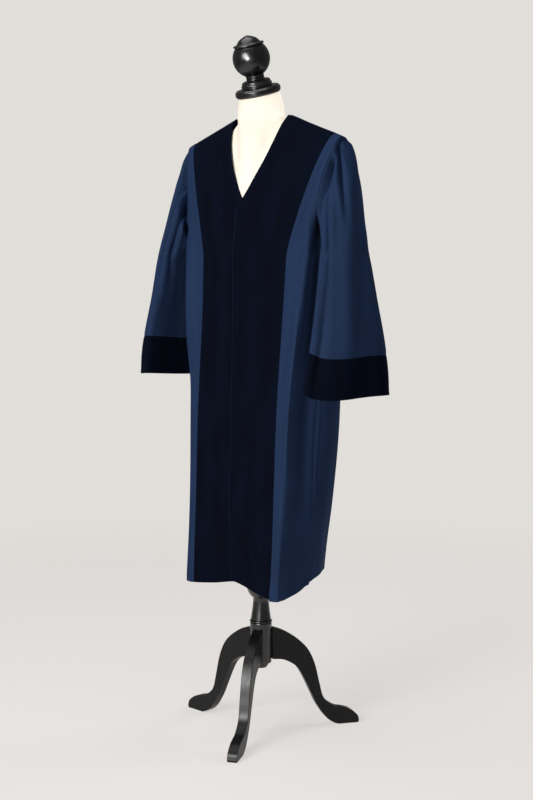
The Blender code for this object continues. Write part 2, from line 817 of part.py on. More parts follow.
def neck_ring(row):
    """Return a tilted ring of the form's neck."""
    lean = FINIAL_LEAN * row.lean_share
    ring = []
    for i in range(FORM_SIDES):
        angle = 2.0 * math.pi * i / FORM_SIDES
        depth = row.radius * math.sin(angle)
        across = row.radius * math.cos(angle)
        ring.append((across, row.y + depth * math.cos(lean), row.z + depth * math.sin(lean)))
    return ring


def build_form():
    """Build the limbless form: torso, shoulders and neck in one piece."""
    rings = [form_ring(row) for row in FORM_RINGS]
    rings += [ridge_ring(z) for z in FORM_RIDGE_LEVELS]
    rings += [neck_ring(row) for row in NECK_RINGS]
    loft("dress_form", rings, IVORY)


def turned(name, profile, finish, foot=(0.0, 0.0, 0.0), lean=0.0):
    """Build a turned piece from its profile of radius and height, from axis to axis."""
    shape = bmesh.new()
    line = [shape.verts.new((radius, 0.0, height)) for radius, height in profile]
    edges = [shape.edges.new(pair) for pair in zip(line, line[1:])]
    bmesh.ops.spin(
        shape,
        geom=line + edges,
        axis=(0.0, 0.0, 1.0),
        cent=(0.0, 0.0, 0.0),
        angle=2.0 * math.pi,
        steps=TURNED_SIDES,
    )
    bmesh.ops.remove_doubles(shape, verts=shape.verts, dist=0.00001)
    place = Matrix.Translation(foot) @ Matrix.Rotation(lean, 4, "X")
    bmesh.ops.transform(shape, matrix=place, verts=shape.verts)
    return add_object(name, mesh_from_bmesh(name, shape), finish)


def arc(centre, radius, start_deg, end_deg, steps):
    """Return the points of a ball's profile about a height on the axis."""
    points = []
    for i in range(steps + 1):
        angle = math.radians(start_deg + (end_deg - start_deg) * i / steps)
        points.append((radius * math.cos(angle), centre + radius * math.sin(angle)))
    return points


def build_finial():
    """Build the neck plate, stepped collar, ball and cap of the turned finial."""
    plate = [(0.0, 0.0), (0.050, 0.0), (NECK_PLATE_RADIUS, 0.004), (NECK_PLATE_RADIUS, 0.0125)]
    plate += [(0.049, NECK_PLATE_TOP), (0.0, NECK_PLATE_TOP)]
    turned("neck_plate", plate, LACQUER, FINIAL_FOOT, FINIAL_LEAN)
    collar_foot = NECK_PLATE_TOP + SEAM_GAP
    collar = [(0.0, collar_foot), (0.0365, collar_foot), (0.0365, 0.0255), (0.0340, 0.0280)]
    collar += [(0.0340, 0.0320), (0.0300, 0.0345), (0.0215, 0.0365), (0.0215, COLLAR_TOP)]
    collar.append((0.0, COLLAR_TOP))
    turned("finial_collar", collar, LACQUER, FINIAL_FOOT, FINIAL_LEAN)
    foot_radius = 0.0215
    start = -math.degrees(math.acos(foot_radius / BALL_RADIUS))
    ball = [(0.0, COLLAR_TOP + SEAM_GAP), (foot_radius, COLLAR_TOP + SEAM_GAP)]
    end = math.degrees(math.asin((CAP_FOOT - SEAM_GAP - BALL_CENTRE) / BALL_RADIUS))
    ball += arc(BALL_CENTRE, BALL_RADIUS, start, end, 10)
    ball.append((0.0, CAP_FOOT - SEAM_GAP))
    turned("finial_ball", ball, LACQUER, FINIAL_FOOT, FINIAL_LEAN)
    cap = [(0.0, CAP_FOOT), (0.0350, CAP_FOOT), (CAP_RING_RADIUS, CAP_FOOT + 0.0025)]
    cap += [(0.0350, CAP_FOOT + 0.0050), (0.0285, CAP_FOOT + 0.0060)]
    cap += [(0.0265, CAP_FOOT + 0.0090), (0.0200, CAP_FOOT + 0.0160)]
    cap += [(0.0090, CAP_FOOT + 0.0215), (0.0, TIP)]
    turned("finial_cap", cap, LACQUER, FINIAL_FOOT, FINIAL_LEAN)


def build_post():
    """Build the hub, the collar ring and the turned post up to the form."""
    hub = [(0.0, HUB_BOTTOM - 0.012), (0.012, HUB_BOTTOM - 0.012), (0.019, HUB_BOTTOM - 0.004)]
    hub += [(0.019, HUB_BOTTOM), (HUB_RADIUS, HUB_BOTTOM + 0.002), (HUB_RADIUS, HUB_TOP - 0.001)]
    hub += [(HUB_RADIUS - 0.001, HUB_TOP), (0.0, HUB_TOP)]
    turned("hub", hub, LACQUER)
    ring_foot = HUB_TOP + SEAM_GAP
    ring = [(0.0, ring_foot), (0.0255, ring_foot), (0.0275, ring_foot + 0.0025)]
    ring += [(0.0255, RING_TOP), (0.0, RING_TOP)]
    turned("collar_ring", ring, LACQUER)
    post_foot = RING_TOP + SEAM_GAP
    post = [(0.0, post_foot), (0.0250, post_foot), (0.0215, 0.300), (0.0190, 0.326)]
    post += [(0.0200, 0.331), (0.0290, 0.341), (0.0350, 0.356), (0.0370, 0.378), (0.0340, 0.405)]
    post += [(0.0270, 0.440), (0.0210, 0.480), (0.0190, 0.530), (0.0210, 0.545), (0.0210, 0.555)]
    top = FORM_BOTTOM_Z - SEAM_GAP
    rim = top - POST_PLATE_THICKNESS
    post += [(0.0165, 0.565), (0.0165, rim - 0.002), (POST_PLATE_RADIUS, rim)]
    post += [(POST_PLATE_RADIUS, top), (0.0, top)]
    turned("post", post, LACQUER)


def leg_outline():
    """Return a leg's side view as points of reach and height, once round."""
    outline = []
    for edge in (LEG_TOP_EDGE, LEG_LOWER_EDGE):
        knots = range(len(edge))
        for i in range(LEG_EDGE_STEPS + 1):
            place = (len(edge) - 1) * i / LEG_EDGE_STEPS
            outline.append(tuple(spline(knots, edge, place)))
        if edge is LEG_TOP_EDGE:
            outline.append((LEG_TOE, 0.0))
    return outline


def build_legs():
    """Build the curved legs, each an edged board standing on a flat foot."""
    outline = leg_outline()
    for i in range(LEG_COUNT):
        shape = bmesh.new()
        rim = [shape.verts.new((x, -0.5 * LEG_THICKNESS, z)) for x, z in outline]
        board = shape.faces.new(rim)
        swept = bmesh.ops.extrude_face_region(shape, geom=[board])
        moved = [item for item in swept["geom"] if isinstance(item, bmesh.types.BMVert)]
        bmesh.ops.translate(shape, vec=(0.0, LEG_THICKNESS, 0.0), verts=moved)
        turn = math.radians(LEG_FIRST_DEG + i * 360.0 / LEG_COUNT)
        bmesh.ops.transform(shape, matrix=Matrix.Rotation(turn, 4, "Z"), verts=shape.verts)
        mesh = mesh_from_bmesh(f"leg_{i + 1}", shape)
        leg = add_object(f"leg_{i + 1}", mesh, LACQUER)
        bevel = leg.modifiers.new("soft_edges", "BEVEL")
        bevel.width = LEG_BEVEL
        bevel.segments = 1
        bevel.limit_method = "ANGLE"
        bevel.angle_limit = math.radians(60.0)


def main():
    """Build the robe, its form and its stand."""
    clear_scene()
    build_body()
    build_sleeves()
    build_form()
    build_finial()
    build_post()
    build_legs()


main()
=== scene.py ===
"""Looks of a judicial robe worn on a limbless dress form with a turned finial and a tripod stand.

Metres, +Z up. The front faces -Y and the wearer's left is +X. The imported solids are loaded
first and never change; each piece made here stands for the solid whose name it carries.
"""
import logging
import math
from dataclasses import dataclass, field, fields
from enum import Enum
from typing import NamedTuple, Optional, Sequence, Union

import bpy
import numpy as np
from mathutils import Matrix, Vector


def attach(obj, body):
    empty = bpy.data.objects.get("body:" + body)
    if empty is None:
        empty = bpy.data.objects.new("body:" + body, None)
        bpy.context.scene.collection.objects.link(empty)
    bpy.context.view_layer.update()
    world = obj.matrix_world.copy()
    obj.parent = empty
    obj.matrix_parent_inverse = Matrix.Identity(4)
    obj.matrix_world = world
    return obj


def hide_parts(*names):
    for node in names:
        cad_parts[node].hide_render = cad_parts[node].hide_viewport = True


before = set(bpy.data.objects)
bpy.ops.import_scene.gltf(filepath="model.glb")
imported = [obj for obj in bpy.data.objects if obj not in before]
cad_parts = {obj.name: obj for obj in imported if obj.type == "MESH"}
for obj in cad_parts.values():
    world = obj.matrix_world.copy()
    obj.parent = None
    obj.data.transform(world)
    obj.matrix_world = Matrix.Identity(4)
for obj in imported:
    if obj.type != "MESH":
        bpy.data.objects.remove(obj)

LOG = logging.getLogger("robe_looks")
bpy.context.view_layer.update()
BODY = "root"
FORM_PIECE = "dress_form_jersey"
CLOTH_UV = "cloth"
# Share of the wall's thickness that is left at a free edge
THINNEST_EDGE = 0.15
# A face's corners the other way round
TURNED_ROUND = (0, 3, 2, 1)
# Metres from band to band of a wave texture at scale 1
WAVE_PERIOD = 0.314

# Kinds of values
Numbers = Union[float, np.ndarray]
Colour = tuple[float, float, float]
Profile = list[tuple[float, float]]
Feed = Union[bpy.types.NodeSocket, float, Vector, tuple]


class Side(Enum):
    """Half of the wearer."""

    LEFT = 1
    RIGHT = -1

    @property
    def label(self) -> str:
        """Word that ends the names of this side's pieces."""
        return self.name.lower()


class Slot(Enum):
    """Material slots."""

    VELVET = "velvet"
    CLOTH = "navy_cloth"
    IVORY = "ivory_form"
    LACQUER = "black_lacquer"


# Numbers over arrays


def hermite(
    t: Numbers, start: np.ndarray, end: np.ndarray, start_slope: np.ndarray, end_slope: np.ndarray
) -> np.ndarray:
    """Return a smooth curve between two values with given slopes.

    Args:
        t: places, 0 at the start and 1 at the end.
        start: values at the start.
        end: values at the end.
        start_slope: slopes at the start, over the whole stretch.
        end_slope: slopes at the end, over the whole stretch.

    Returns:
        The values at the places.
    """
    first = (1 + 2 * t) * (1 - t) ** 2 * start + t * (1 - t) ** 2 * start_slope
    return first + t * t * (3 - 2 * t) * end + t * t * (t - 1) * end_slope


def spline(knots: Sequence[float], values: Sequence, places: Numbers) -> np.ndarray:
    """Read a smooth curve through values at places among the knots.

    Args:
        knots: rising places of the values.
        values: one number or one row of numbers for each knot.
        places: a number or an array of places.

    Returns:
        The values at the places, with the places' shape first.
    """
    knots = np.asarray(knots, dtype=float)
    values = np.asarray(values, dtype=float)
    places = np.asarray(places, dtype=float)
    slopes = np.gradient(values, knots, axis=0)
    low = np.clip(np.searchsorted(knots, places) - 1, 0, len(knots) - 2)
    step = knots[low + 1] - knots[low]
    t = (places - knots[low]) / step
    if values.ndim > 1:
        t, step = t[..., None], step[..., None]
    return hermite(t, values[low], values[low + 1], step * slopes[low], step * slopes[low + 1])


def ease(value: Numbers) -> np.ndarray:
    """Return a smooth step from 0 to 1."""
    value = np.clip(value, 0.0, 1.0)
    return value * value * (3.0 - 2.0 * value)


def unit(vectors: np.ndarray) -> np.ndarray:
    """Return vectors at length 1."""
    return vectors / np.maximum(np.linalg.norm(vectors, axis=-1, keepdims=True), 1e-12)


def turn_apart(angle_deg: Numbers, centre_deg: Numbers) -> Numbers:
    """Return how many degrees an angle lies from another, the short way round."""
    return (angle_deg - centre_deg + 180.0) % 360.0 - 180.0


def bell(distance: np.ndarray, width: float) -> np.ndarray:
    """Return a soft bump that is 1 at no distance and fades over the width."""
    return np.exp(-((distance / width) ** 2))


@dataclass(frozen=True)
class Ripple:
    """Small uneven waves of hanging cloth, the same at each run.

    Args:
        seed: start of the random draws.
        across: shortest and longest wave across the cloth, in metres.
        along: shortest and longest wave along the cloth, in metres.
        depth: height of the waves, in metres.
        count: number of waves that are added up.
    """

    seed: int
    across: tuple[float, float]
    along: tuple[float, float]
    depth: float
    count: int = 9

    def height(self, u: np.ndarray, v: np.ndarray) -> np.ndarray:
        """Add up the waves.

        Args:
            u: metres across the cloth.
            v: metres along the cloth.

        Returns:
            The height in metres, of the shape that u and v share.
        """
        draw = np.random.default_rng(self.seed)
        total = np.zeros(np.broadcast(u, v).shape)
        for _ in range(self.count):
            wide = draw.uniform(*self.across)
            long = draw.uniform(*self.along)
            lean = draw.choice((-1.0, 1.0))
            phase = draw.uniform(0.0, 2.0 * math.pi)
            total += np.sin(2.0 * math.pi * (u / wide + lean * v / long) + phase)
        return self.depth * total / math.sqrt(self.count)


# The robe's cut and drape


class Section(NamedTuple):
    """Half girth of the hanging robe at one height, by its turning points."""

    z: float
    front_y: float
    seam_x: float
    seam_y: float
    corner_x: float
    corner_y: float
    side_x: float
    side_y: float
    back_x: float
    back_y: float
    centre_back_y: float


class HemPoint(NamedTuple):
    """Height of the hem at a place round the half girth."""

    place: float
    z: float


class Fold(NamedTuple):
    """Soft upright fold: its place round the girth, negative on the wearer's right."""

    place: float
    width: float
    depth: float
    top_z: float


class Crease(NamedTuple):
    """Slanting crease between two points of a half: place and height at each end."""

    side: Side
    top_place: float
    top_z: float
    low_place: float
    low_z: float
    width: float
    depth: float


SECTIONS = (
    Section(0.385, -0.087, 0.131, -0.1025, 0.151, -0.101, 0.154, 0.000, 0.111, 0.0980, 0.120),
    Section(0.470, -0.092, 0.132, -0.0985, 0.156, -0.093, 0.163, 0.002, 0.120, 0.0990, 0.126),
    Section(0.570, -0.093, 0.132, -0.0945, 0.161, -0.084, 0.172, 0.003, 0.134, 0.1010, 0.131),
    Section(0.800, -0.089, 0.134, -0.0860, 0.166, -0.076, 0.188, 0.005, 0.155, 0.1060, 0.138),
    Section(1.060, -0.085, 0.136, -0.0670, 0.192, -0.064, 0.206, 0.006, 0.162, 0.0980, 0.134),
    Section(1.165, -0.085, 0.139, -0.0620, 0.199, -0.055, 0.214, 0.004, 0.168, 0.0880, 0.128),
)
HEM = (
    HemPoint(-1.0, 0.369),
    HemPoint(0.0, 0.383),
    HemPoint(0.5, 0.3700),
    HemPoint(1.0, 0.3630),
    HemPoint(1.5, 0.3645),
    HemPoint(2.0, 0.3655),
    HemPoint(2.3, 0.3640),
    HemPoint(2.6, 0.3705),
    HemPoint(3.0, 0.389),
    HemPoint(4.0, 0.406),
    HemPoint(5.0, 0.402),
    HemPoint(6.0, 0.400),
)
FOLDS = (
    Fold(1.85, 0.34, 0.0150, 0.75),
    Fold(2.50, 0.22, -0.0030, 0.90),
    Fold(2.95, 0.30, 0.0020, 0.95),
    Fold(3.22, 0.16, -0.0010, 1.05),
    Fold(3.45, 0.18, 0.0010, 1.00),
    Fold(3.76, 0.24, -0.0020, 1.10),
    Fold(4.12, 0.22, 0.0050, 1.10),
    Fold(4.44, 0.17, -0.0150, 1.20),
    Fold(4.78, 0.16, 0.0130, 1.16),
    Fold(-1.60, 0.24, -0.0030, 0.85),
    Fold(-2.30, 0.30, 0.0050, 0.95),
    Fold(-2.80, 0.22, -0.0060, 1.00),
    Fold(-3.25, 0.26, 0.0080, 1.08),
    Fold(-3.65, 0.20, -0.0090, 1.02),
    Fold(-4.04, 0.20, 0.0130, 1.18),
    Fold(-4.40, 0.17, -0.0150, 1.22),
    Fold(-4.84, 0.18, -0.0110, 1.14),
)
CREASES = (
    Crease(Side.LEFT, 1.55, 0.95, 1.62, 0.42, 0.010, -0.0016),
    Crease(Side.LEFT, 1.85, 1.12, 1.45, 0.90, 0.014, 0.0016),
    Crease(Side.LEFT, 2.02, 1.34, 1.95, 0.50, 0.017, 0.0055),
    Crease(Side.LEFT, 2.60, 1.38, 2.66, 0.46, 0.030, -0.0220),
    Crease(Side.LEFT, 0.55, 1.05, 0.62, 0.50, 0.012, -0.0010),
    Crease(Side.RIGHT, 1.90, 1.30, 1.90, 0.84, 0.050, 0.0070),
    Crease(Side.RIGHT, 0.62, 1.10, 0.55, 0.55, 0.014, -0.0012),
    Crease(Side.RIGHT, 1.70, 1.12, 1.35, 0.85, 0.014, 0.0014),
    Crease(Side.LEFT, 4.20, 1.40, 4.55, 1.05, 0.016, -0.0020),
    Crease(Side.RIGHT, 4.25, 1.40, 4.50, 1.02, 0.016, -0.0022),
    Crease(Side.LEFT, 4.65, 1.42, 4.75, 1.10, 0.014, 0.0016),
    Crease(Side.RIGHT, 4.70, 1.42, 4.80, 1.12, 0.014, 0.0014),
)
# Metres of cloth from one place of the half girth to the next
METRES_A_PLACE = 0.078
# Share of a crease's length over which it fades at each end
CREASE_FADE = 0.3


class SleeveSection(NamedTuple):
    """Ellipse of the hanging sleeve at one height."""

    z: float
    centre_x: float
    centre_y: float
    long_half: float
    short_half: float


class CuffHang(NamedTuple):
    """How a cuff hangs: height of its top seam, fall towards the back and droop outside."""

    top_z: float
    fall: float
    droop: float


class Pleat(NamedTuple):
    """Pleat of a sleeve, from one height share to another, in degrees round the sleeve."""

    start_deg: float
    end_deg: float
    width_deg: float
    depth: float
    start: float
    end: float


SLEEVE = (
    SleeveSection(0.840, 0.3060, -0.0370, 0.1110, 0.0330),
    SleeveSection(0.950, 0.3090, -0.0340, 0.0955, 0.0320),
    SleeveSection(1.070, 0.2980, -0.0285, 0.0740, 0.0300),
    SleeveSection(1.120, 0.2930, -0.0270, 0.0660, 0.0295),
)
CUFF_HANGS = {Side.LEFT: CuffHang(0.948, 0.09, 0.018), Side.RIGHT: CuffHang(0.956, 0.09, 0.003)}
PLEATS = {
    Side.LEFT: (
        Pleat(4.0, 9.0, 5.5, 0.0170, 0.0, 0.56),
        Pleat(30.0, 60.0, 8.0, 0.0060, 0.10, 0.60),
        Pleat(4.0, 16.0, 17.0, -0.0060, 0.40, 1.10),
        Pleat(-84.0, -118.0, 9.0, 0.0110, 0.0, 0.56),
        Pleat(-62.0, -100.0, 7.0, 0.0040, 0.0, 0.34),
        Pleat(54.0, 62.0, 11.0, 0.0032, 0.50, 1.04),
        Pleat(98.0, 92.0, 12.0, -0.0030, 0.40, 1.10),
        Pleat(-64.0, -74.0, 14.0, 0.0040, 0.45, 1.10),
        Pleat(-115.0, -120.0, 16.0, 0.0035, 0.35, 1.10),
        Pleat(150.0, 150.0, 18.0, 0.0030, 0.40, 1.05),
    ),
    Side.RIGHT: (
        Pleat(8.0, 108.0, 8.0, 0.0110, 0.0, 0.90),
        Pleat(56.0, 150.0, 9.0, 0.0080, 0.0, 0.95),
        Pleat(-4.0, 10.0, 6.0, 0.0060, 0.0, 0.34),
        Pleat(-24.0, -40.0, 7.0, 0.0090, 0.0, 0.44),
        Pleat(-52.0, -96.0, 8.0, 0.0110, 0.0, 0.56),
        Pleat(-58.0, -66.0, 16.0, 0.0040, 0.45, 1.10),
        Pleat(-110.0, -118.0, 16.0, 0.0035, 0.35, 1.10),
    ),
}


@dataclass
class Columns:
    """Drape lines of a panel, from the top edge down to the hem, as one array for each size."""

    low_place: np.ndarray
    chest_place: np.ndarray
    top_x: np.ndarray
    top_z: np.ndarray
    spread: np.ndarray

    @staticmethod
    def join(parts: Sequence["Columns"]) -> "Columns":
        """Return the lines of several stretches as one."""
        return Columns(*(np.concatenate([getattr(p, f.name) for p in parts]) for f in fields(Columns)))

    def part(self, which: slice) -> "Columns":
        """Return some of the lines."""
        return Columns(*(getattr(self, f.name)[which] for f in fields(self)))

    def __len__(self) -> int:
        """Return how many lines there are."""
        return len(self.low_place)


@dataclass
class Drape:
    """Cut and fall of the robe, from the neck point and shoulder down to the hem."""

    neck_x: float = 0.088
    neck_z: float = 1.487
    shoulder_x: float = 0.2505
    shoulder_z: float = 1.430
    band_ridge_x: float = 0.230
    v_bottom_z: float = 1.2926
    v_bow: float = 0.59
    back_neck_z: float = 1.463
    chest_z: float = 1.165
    underarm_z: float = 1.190
    hollow_front: float = 0.008
    armhole_curve: float = 1.6
    hollow_back: float = 0.004
    bend_front: float = 1.2
    bend_back: float = 2.4
    spread: float = 1.15
    spread_front: float = 3.0
    spread_back: float = 1.7
    even_below_z: float = 0.95
    band_seam: float = 1.0
    side_seam: float = 3.0
    centre_back: float = 5.0
    lap: float = 0.10
    lap_fade: float = 0.24
    lap_lift: float = 0.0013
    neck_front: float = 0.45
    neck_back: float = 4.55
    armhole_front: float = 1.90
    armhole_back: float = 3.75
    crowding: float = 4.0
    strap_crowding: float = 1.5
    underarm_out: float = 0.002
    armhole_depth: float = 0.05
    armhole_height: float = 0.115
    armhole_out: float = 0.45
    armhole_out_more: float = 0.15

    def section(self, place: Numbers, z: Numbers) -> np.ndarray:
        """Return x and y of the robe at places round its half girth and heights.

        Args:
            place: 0 centre front, 1 band seam, 3 side seam, 5 centre back.
            z: heights, of a shape that fits the places.

        Returns:
            x and y in the last axis.
        """
        place, z = np.broadcast_arrays(np.asarray(place, float), np.asarray(z, float))
        rows = spline([s.z for s in SECTIONS], SECTIONS, np.maximum(z, SECTIONS[0].z))
        _, front, seam_x, seam_y, corner_x, corner_y, side_x, side_y, back_x, back_y, last = (
            np.moveaxis(rows, -1, 0)
        )
        none = np.zeros_like(front)
        round_front = ((-seam_x, seam_y), (none, front), (seam_x, seam_y), (corner_x, corner_y))
        round_back = ((side_x, side_y), (back_x, back_y), (none, last), (-back_x, back_y))
        turns = np.stack([np.stack(turn, -1) for turn in round_front + round_back], axis=-2)
        slopes = np.gradient(turns, axis=-2)
        low = np.clip(np.ceil(place).astype(int), 0, 6)
        t = (place + 1 - low)[..., None]

        def pick(table: np.ndarray, index: np.ndarray) -> np.ndarray:
            """Return each place's own row of a table of turning points."""
            return np.take_along_axis(table, index[..., None, None], axis=-2)[..., 0, :]

        return hermite(t, pick(turns, low), pick(turns, low + 1), pick(slopes, low), pick(slopes, low + 1))

    def ridge_z(self, x: Numbers) -> np.ndarray:
        """Return the height of the shoulder ridge at distances from the centre."""
        slope = (self.neck_z - self.shoulder_z) / (self.shoulder_x - self.neck_x)
        return self.neck_z - slope * np.maximum(np.asarray(x) - self.neck_x, 0.0)

    def fold_depth(self, place: Numbers, z: Numbers, side: Side) -> np.ndarray:
        """Return how far the upright folds move the cloth out.

        Args:
            place: places round the half girth.
            z: heights.
            side: half of the wearer.

        Returns:
            The move in metres.
        """
        total = np.zeros(np.broadcast(place, z).shape)
        for fold in FOLDS:
            apart = np.abs(side.value * place - fold.place)
            apart = np.minimum(apart, 2 * self.centre_back - apart)
            reach = ease((fold.top_z - z) / (fold.top_z - HEM[0].z))
            total = total + fold.depth * reach * bell(apart, fold.width)
        return total

    def crease_depth(self, place: Numbers, z: Numbers, side: Side) -> np.ndarray:
        """Return how far the slanting creases move the cloth out.

        Args:
            place: places round the half girth.
            z: heights.
            side: half of the wearer.

        Returns:
            The move in metres.
        """
        total = np.zeros(np.broadcast(place, z).shape)
        for crease in CREASES:
            if crease.side is not side:
                continue
            t = (crease.top_z - z) / (crease.top_z - crease.low_z)
            line = crease.top_place + (crease.low_place - crease.top_place) * t
            window = ease(t / CREASE_FADE) * ease((1.0 - t) / CREASE_FADE)
            total = total + crease.depth * window * bell((place - line) * METRES_A_PLACE, crease.width)
        return total

    def armhole_columns(self, share: np.ndarray, front: bool) -> Columns:
        """Return the lines that end on the armhole.

        Args:
            share: places on the armhole, 1 at the shoulder and 0 at the underarm.
            front: whether the lines belong to the front.

        Returns:
            The lines in the order of the shares.
        """
        tip = self.armhole_front if front else self.armhole_back
        hollow = self.hollow_front if front else self.hollow_back
        side_x = self.section(self.side_seam, self.chest_z)[0] + self.underarm_out
        line_x = side_x + (self.shoulder_x - side_x) * share**self.armhole_curve
        crowd = 1.0 - (1.0 - share) ** self.crowding
        return Columns(
            self.side_seam + (tip - self.side_seam) * (2.0 / math.pi) * np.arcsin(share),
            self.side_seam + (tip - self.side_seam) * crowd,
            line_x - hollow * np.sin(math.pi * share),
            self.underarm_z + (self.shoulder_z - self.underarm_z) * share,
            np.full_like(share, self.spread_front if front else self.spread_back),
        )

    def band_columns(self, lap_places: Sequence[float], v_steps: int, ridge_steps: int) -> Columns:
        """Return the velvet band's lines, from its lap edge to its outer seam.

        Args:
            lap_places: places of the lap, from its edge to the centre front.
            v_steps: steps up the neck opening.
            ridge_steps: steps out along the shoulder ridge.

        Returns:
            The lines from the lap edge outwards.
        """
        places = np.asarray(lap_places, float)
        x = self.section(places, self.chest_z)[..., 0]
        reach = self.neck_x * (1.0 + self.v_bow)
        lap_z = self.v_bottom_z + (self.neck_z - self.v_bottom_z) * x / reach
        plain = np.full_like(places, self.spread)
        lap = Columns(places, places, x, lap_z, plain)
        share = np.linspace(0.0, 1.0, v_steps + 1)
        place = self.neck_front * share
        line_x = self.neck_x * share * (1.0 + self.v_bow * (1.0 - share))
        line_z = self.v_bottom_z + (self.neck_z - self.v_bottom_z) * share
        neck = Columns(place, place, line_x, line_z, np.full_like(share, self.spread))
        share = np.linspace(0.0, 1.0, ridge_steps + 1)[1:]
        place = self.neck_front + (self.band_seam - self.neck_front) * share
        x = self.neck_x + (self.band_ridge_x - self.neck_x) * share
        ridge = Columns(place, place, x, self.ridge_z(x), np.full_like(share, self.spread))
        return Columns.join((lap, neck, ridge))

    def strap_columns(self, steps: int) -> Columns:
        """Return the side front's lines on the shoulder, beyond the band's seam.

        Args:
            steps: steps from the band's seam to the armhole.

        Returns:
            The lines between those two.
        """
        share = (np.arange(1, steps) / steps) ** self.strap_crowding
        place = self.band_seam + (self.armhole_front - self.band_seam) * share
        x = self.band_ridge_x + (self.shoulder_x - self.band_ridge_x) * share
        spread = self.spread + (self.spread_front - self.spread) * share
        return Columns(place, place, x, self.ridge_z(x), spread)

    def back_columns(self, ridge_steps: int, neck_steps: int) -> Columns:
        """Return the back's lines on the shoulder and the back neck, to the centre back.

        Args:
            ridge_steps: steps in along the shoulder ridge.
            neck_steps: steps along the back neck.

        Returns:
            The lines from the armhole to the centre back.
        """
        share = np.arange(1, ridge_steps + 1) / ridge_steps
        place = self.armhole_back + (self.neck_back - self.armhole_back) * share
        x = self.shoulder_x + (self.neck_x - self.shoulder_x) * share
        spread = self.spread_back + (self.spread - self.spread_back) * share
        ridge = Columns(place, place, x, self.ridge_z(x), spread)
        share = np.arange(1, neck_steps + 1) / neck_steps
        place = self.neck_back + (self.centre_back - self.neck_back) * share
        x = self.neck_x * np.cos(0.5 * math.pi * share)
        top_z = self.back_neck_z + (self.neck_z - self.back_neck_z) * (x / self.neck_x) ** 2
        neck = Columns(place, place, x, top_z, np.full_like(share, self.spread))
        return Columns.join((ridge, neck))

    def upper(self, lines: Columns, share: np.ndarray, side: Side, front: bool) -> np.ndarray:
        """Return points between the chest and the top edge.

        Args:
            lines: the drape lines, one a column.
            share: heights as shares, 1 at the top edge and 0 at the chest, one a row.
            side: half of the wearer.
            front: whether the lines belong to the front.

        Returns:
            Points by row, column and axis.
        """
        share = share[:, None]
        low = self.section(lines.chest_place, self.chest_z)
        z = self.chest_z + share * (lines.top_z - self.chest_z)
        x = low[:, 0] + (lines.top_x - low[:, 0]) * share**lines.spread
        rise = np.clip((z - self.chest_z) / (self.ridge_z(x) - self.chest_z), 0.0, 1.0)
        y = low[:, 1] * np.sqrt(1.0 - rise ** (self.bend_front if front else self.bend_back))
        if front:
            y = y - self.lift(lines.chest_place, side)
        return np.stack(np.broadcast_arrays(side.value * x, y, z), axis=-1)

    def lower(self, lines: Columns, share: np.ndarray, side: Side) -> tuple[np.ndarray, np.ndarray]:
        """Return points between the chest and the hem.

        Args:
            lines: the drape lines, one a column.
            share: heights as shares, 0 at the chest and 1 at the hem, one a row.
            side: half of the wearer.

        Returns:
            Points by row, column and axis, and each point's place round the half girth.
        """
        share = share[:, None]
        hem_z = spline([h.place for h in HEM], [h.z for h in HEM], lines.low_place)
        z = self.chest_z + share * (hem_z - self.chest_z)
        blend = ease((self.chest_z - z) / (self.chest_z - self.even_below_z))
        place = lines.chest_place + blend * (lines.low_place - lines.chest_place)
        point = self.section(place, z)
        y = point[..., 1] - np.where(place < self.band_seam, self.lift(place, side), 0.0)
        return np.stack((side.value * point[..., 0], y, z), axis=-1), place

    def lift(self, place: Numbers, side: Side) -> np.ndarray:
        """Return how far the left front lies out, and the right front in, at the lap."""
        return side.value * self.lap_lift * ease((self.lap_fade - place) / (self.lap_fade - self.lap))

    def armhole_normal(self, points: np.ndarray, side: Side) -> np.ndarray:
        """Return the directions that body and sleeve share at their seam.

        Args:
            points: points of the armhole seam.
            side: half of the wearer.

        Returns:
            A direction for each point.
        """
        centre_z = 0.5 * (self.underarm_z + self.shoulder_z)
        forward = points[..., 1] / self.armhole_depth
        radial = unit(np.stack((forward, (points[..., 2] - centre_z) / self.armhole_height), -1))
        outward = side.value * (self.armhole_out + self.armhole_out_more * radial[..., 1])
        return unit(np.stack((outward, radial[..., 0], radial[..., 1]), -1))


def grid_normals(points: np.ndarray) -> np.ndarray:
    """Return the directions square to a grid of points, by central differences."""
    return unit(np.cross(np.gradient(points, axis=0), np.gradient(points, axis=1)))


def wrapped_normals(points: np.ndarray) -> np.ndarray:
    """Return the directions square to a tube, whose last column meets its first."""
    wrapped = np.concatenate((points[:, -1:], points, points[:, :1]), axis=1)
    return grid_normals(wrapped)[:, 1:-1]


def run_length(points: np.ndarray, axis: int) -> np.ndarray:
    """Return how far each point of a grid lies along an axis, measured on the cloth.

    Args:
        points: grid of points.
        axis: 0 down the columns, 1 along the rows.

    Returns:
        Metres from the first point of each line.
    """
    steps = np.linalg.norm(np.diff(points, axis=axis), axis=-1)
    start = np.zeros_like(np.take(steps, [0], axis=axis))
    return np.concatenate((start, np.cumsum(steps, axis=axis)), axis=axis)


def grid_quads(rows: int, spans: int, width: int) -> np.ndarray:
    """Return the four corners of each face of a grid.

    Args:
        rows: rows of points.
        spans: faces in a row, as many as the columns where the last one meets the first.
        width: columns of points.

    Returns:
        Four numbers of points for each face.
    """
    row, column = np.meshgrid(np.arange(rows - 1), np.arange(spans), indexing="ij")
    start, column = row.ravel() * width, column.ravel()
    after = (column + 1) % width
    return np.stack((start + column, start + width + column, start + width + after, start + after), -1)


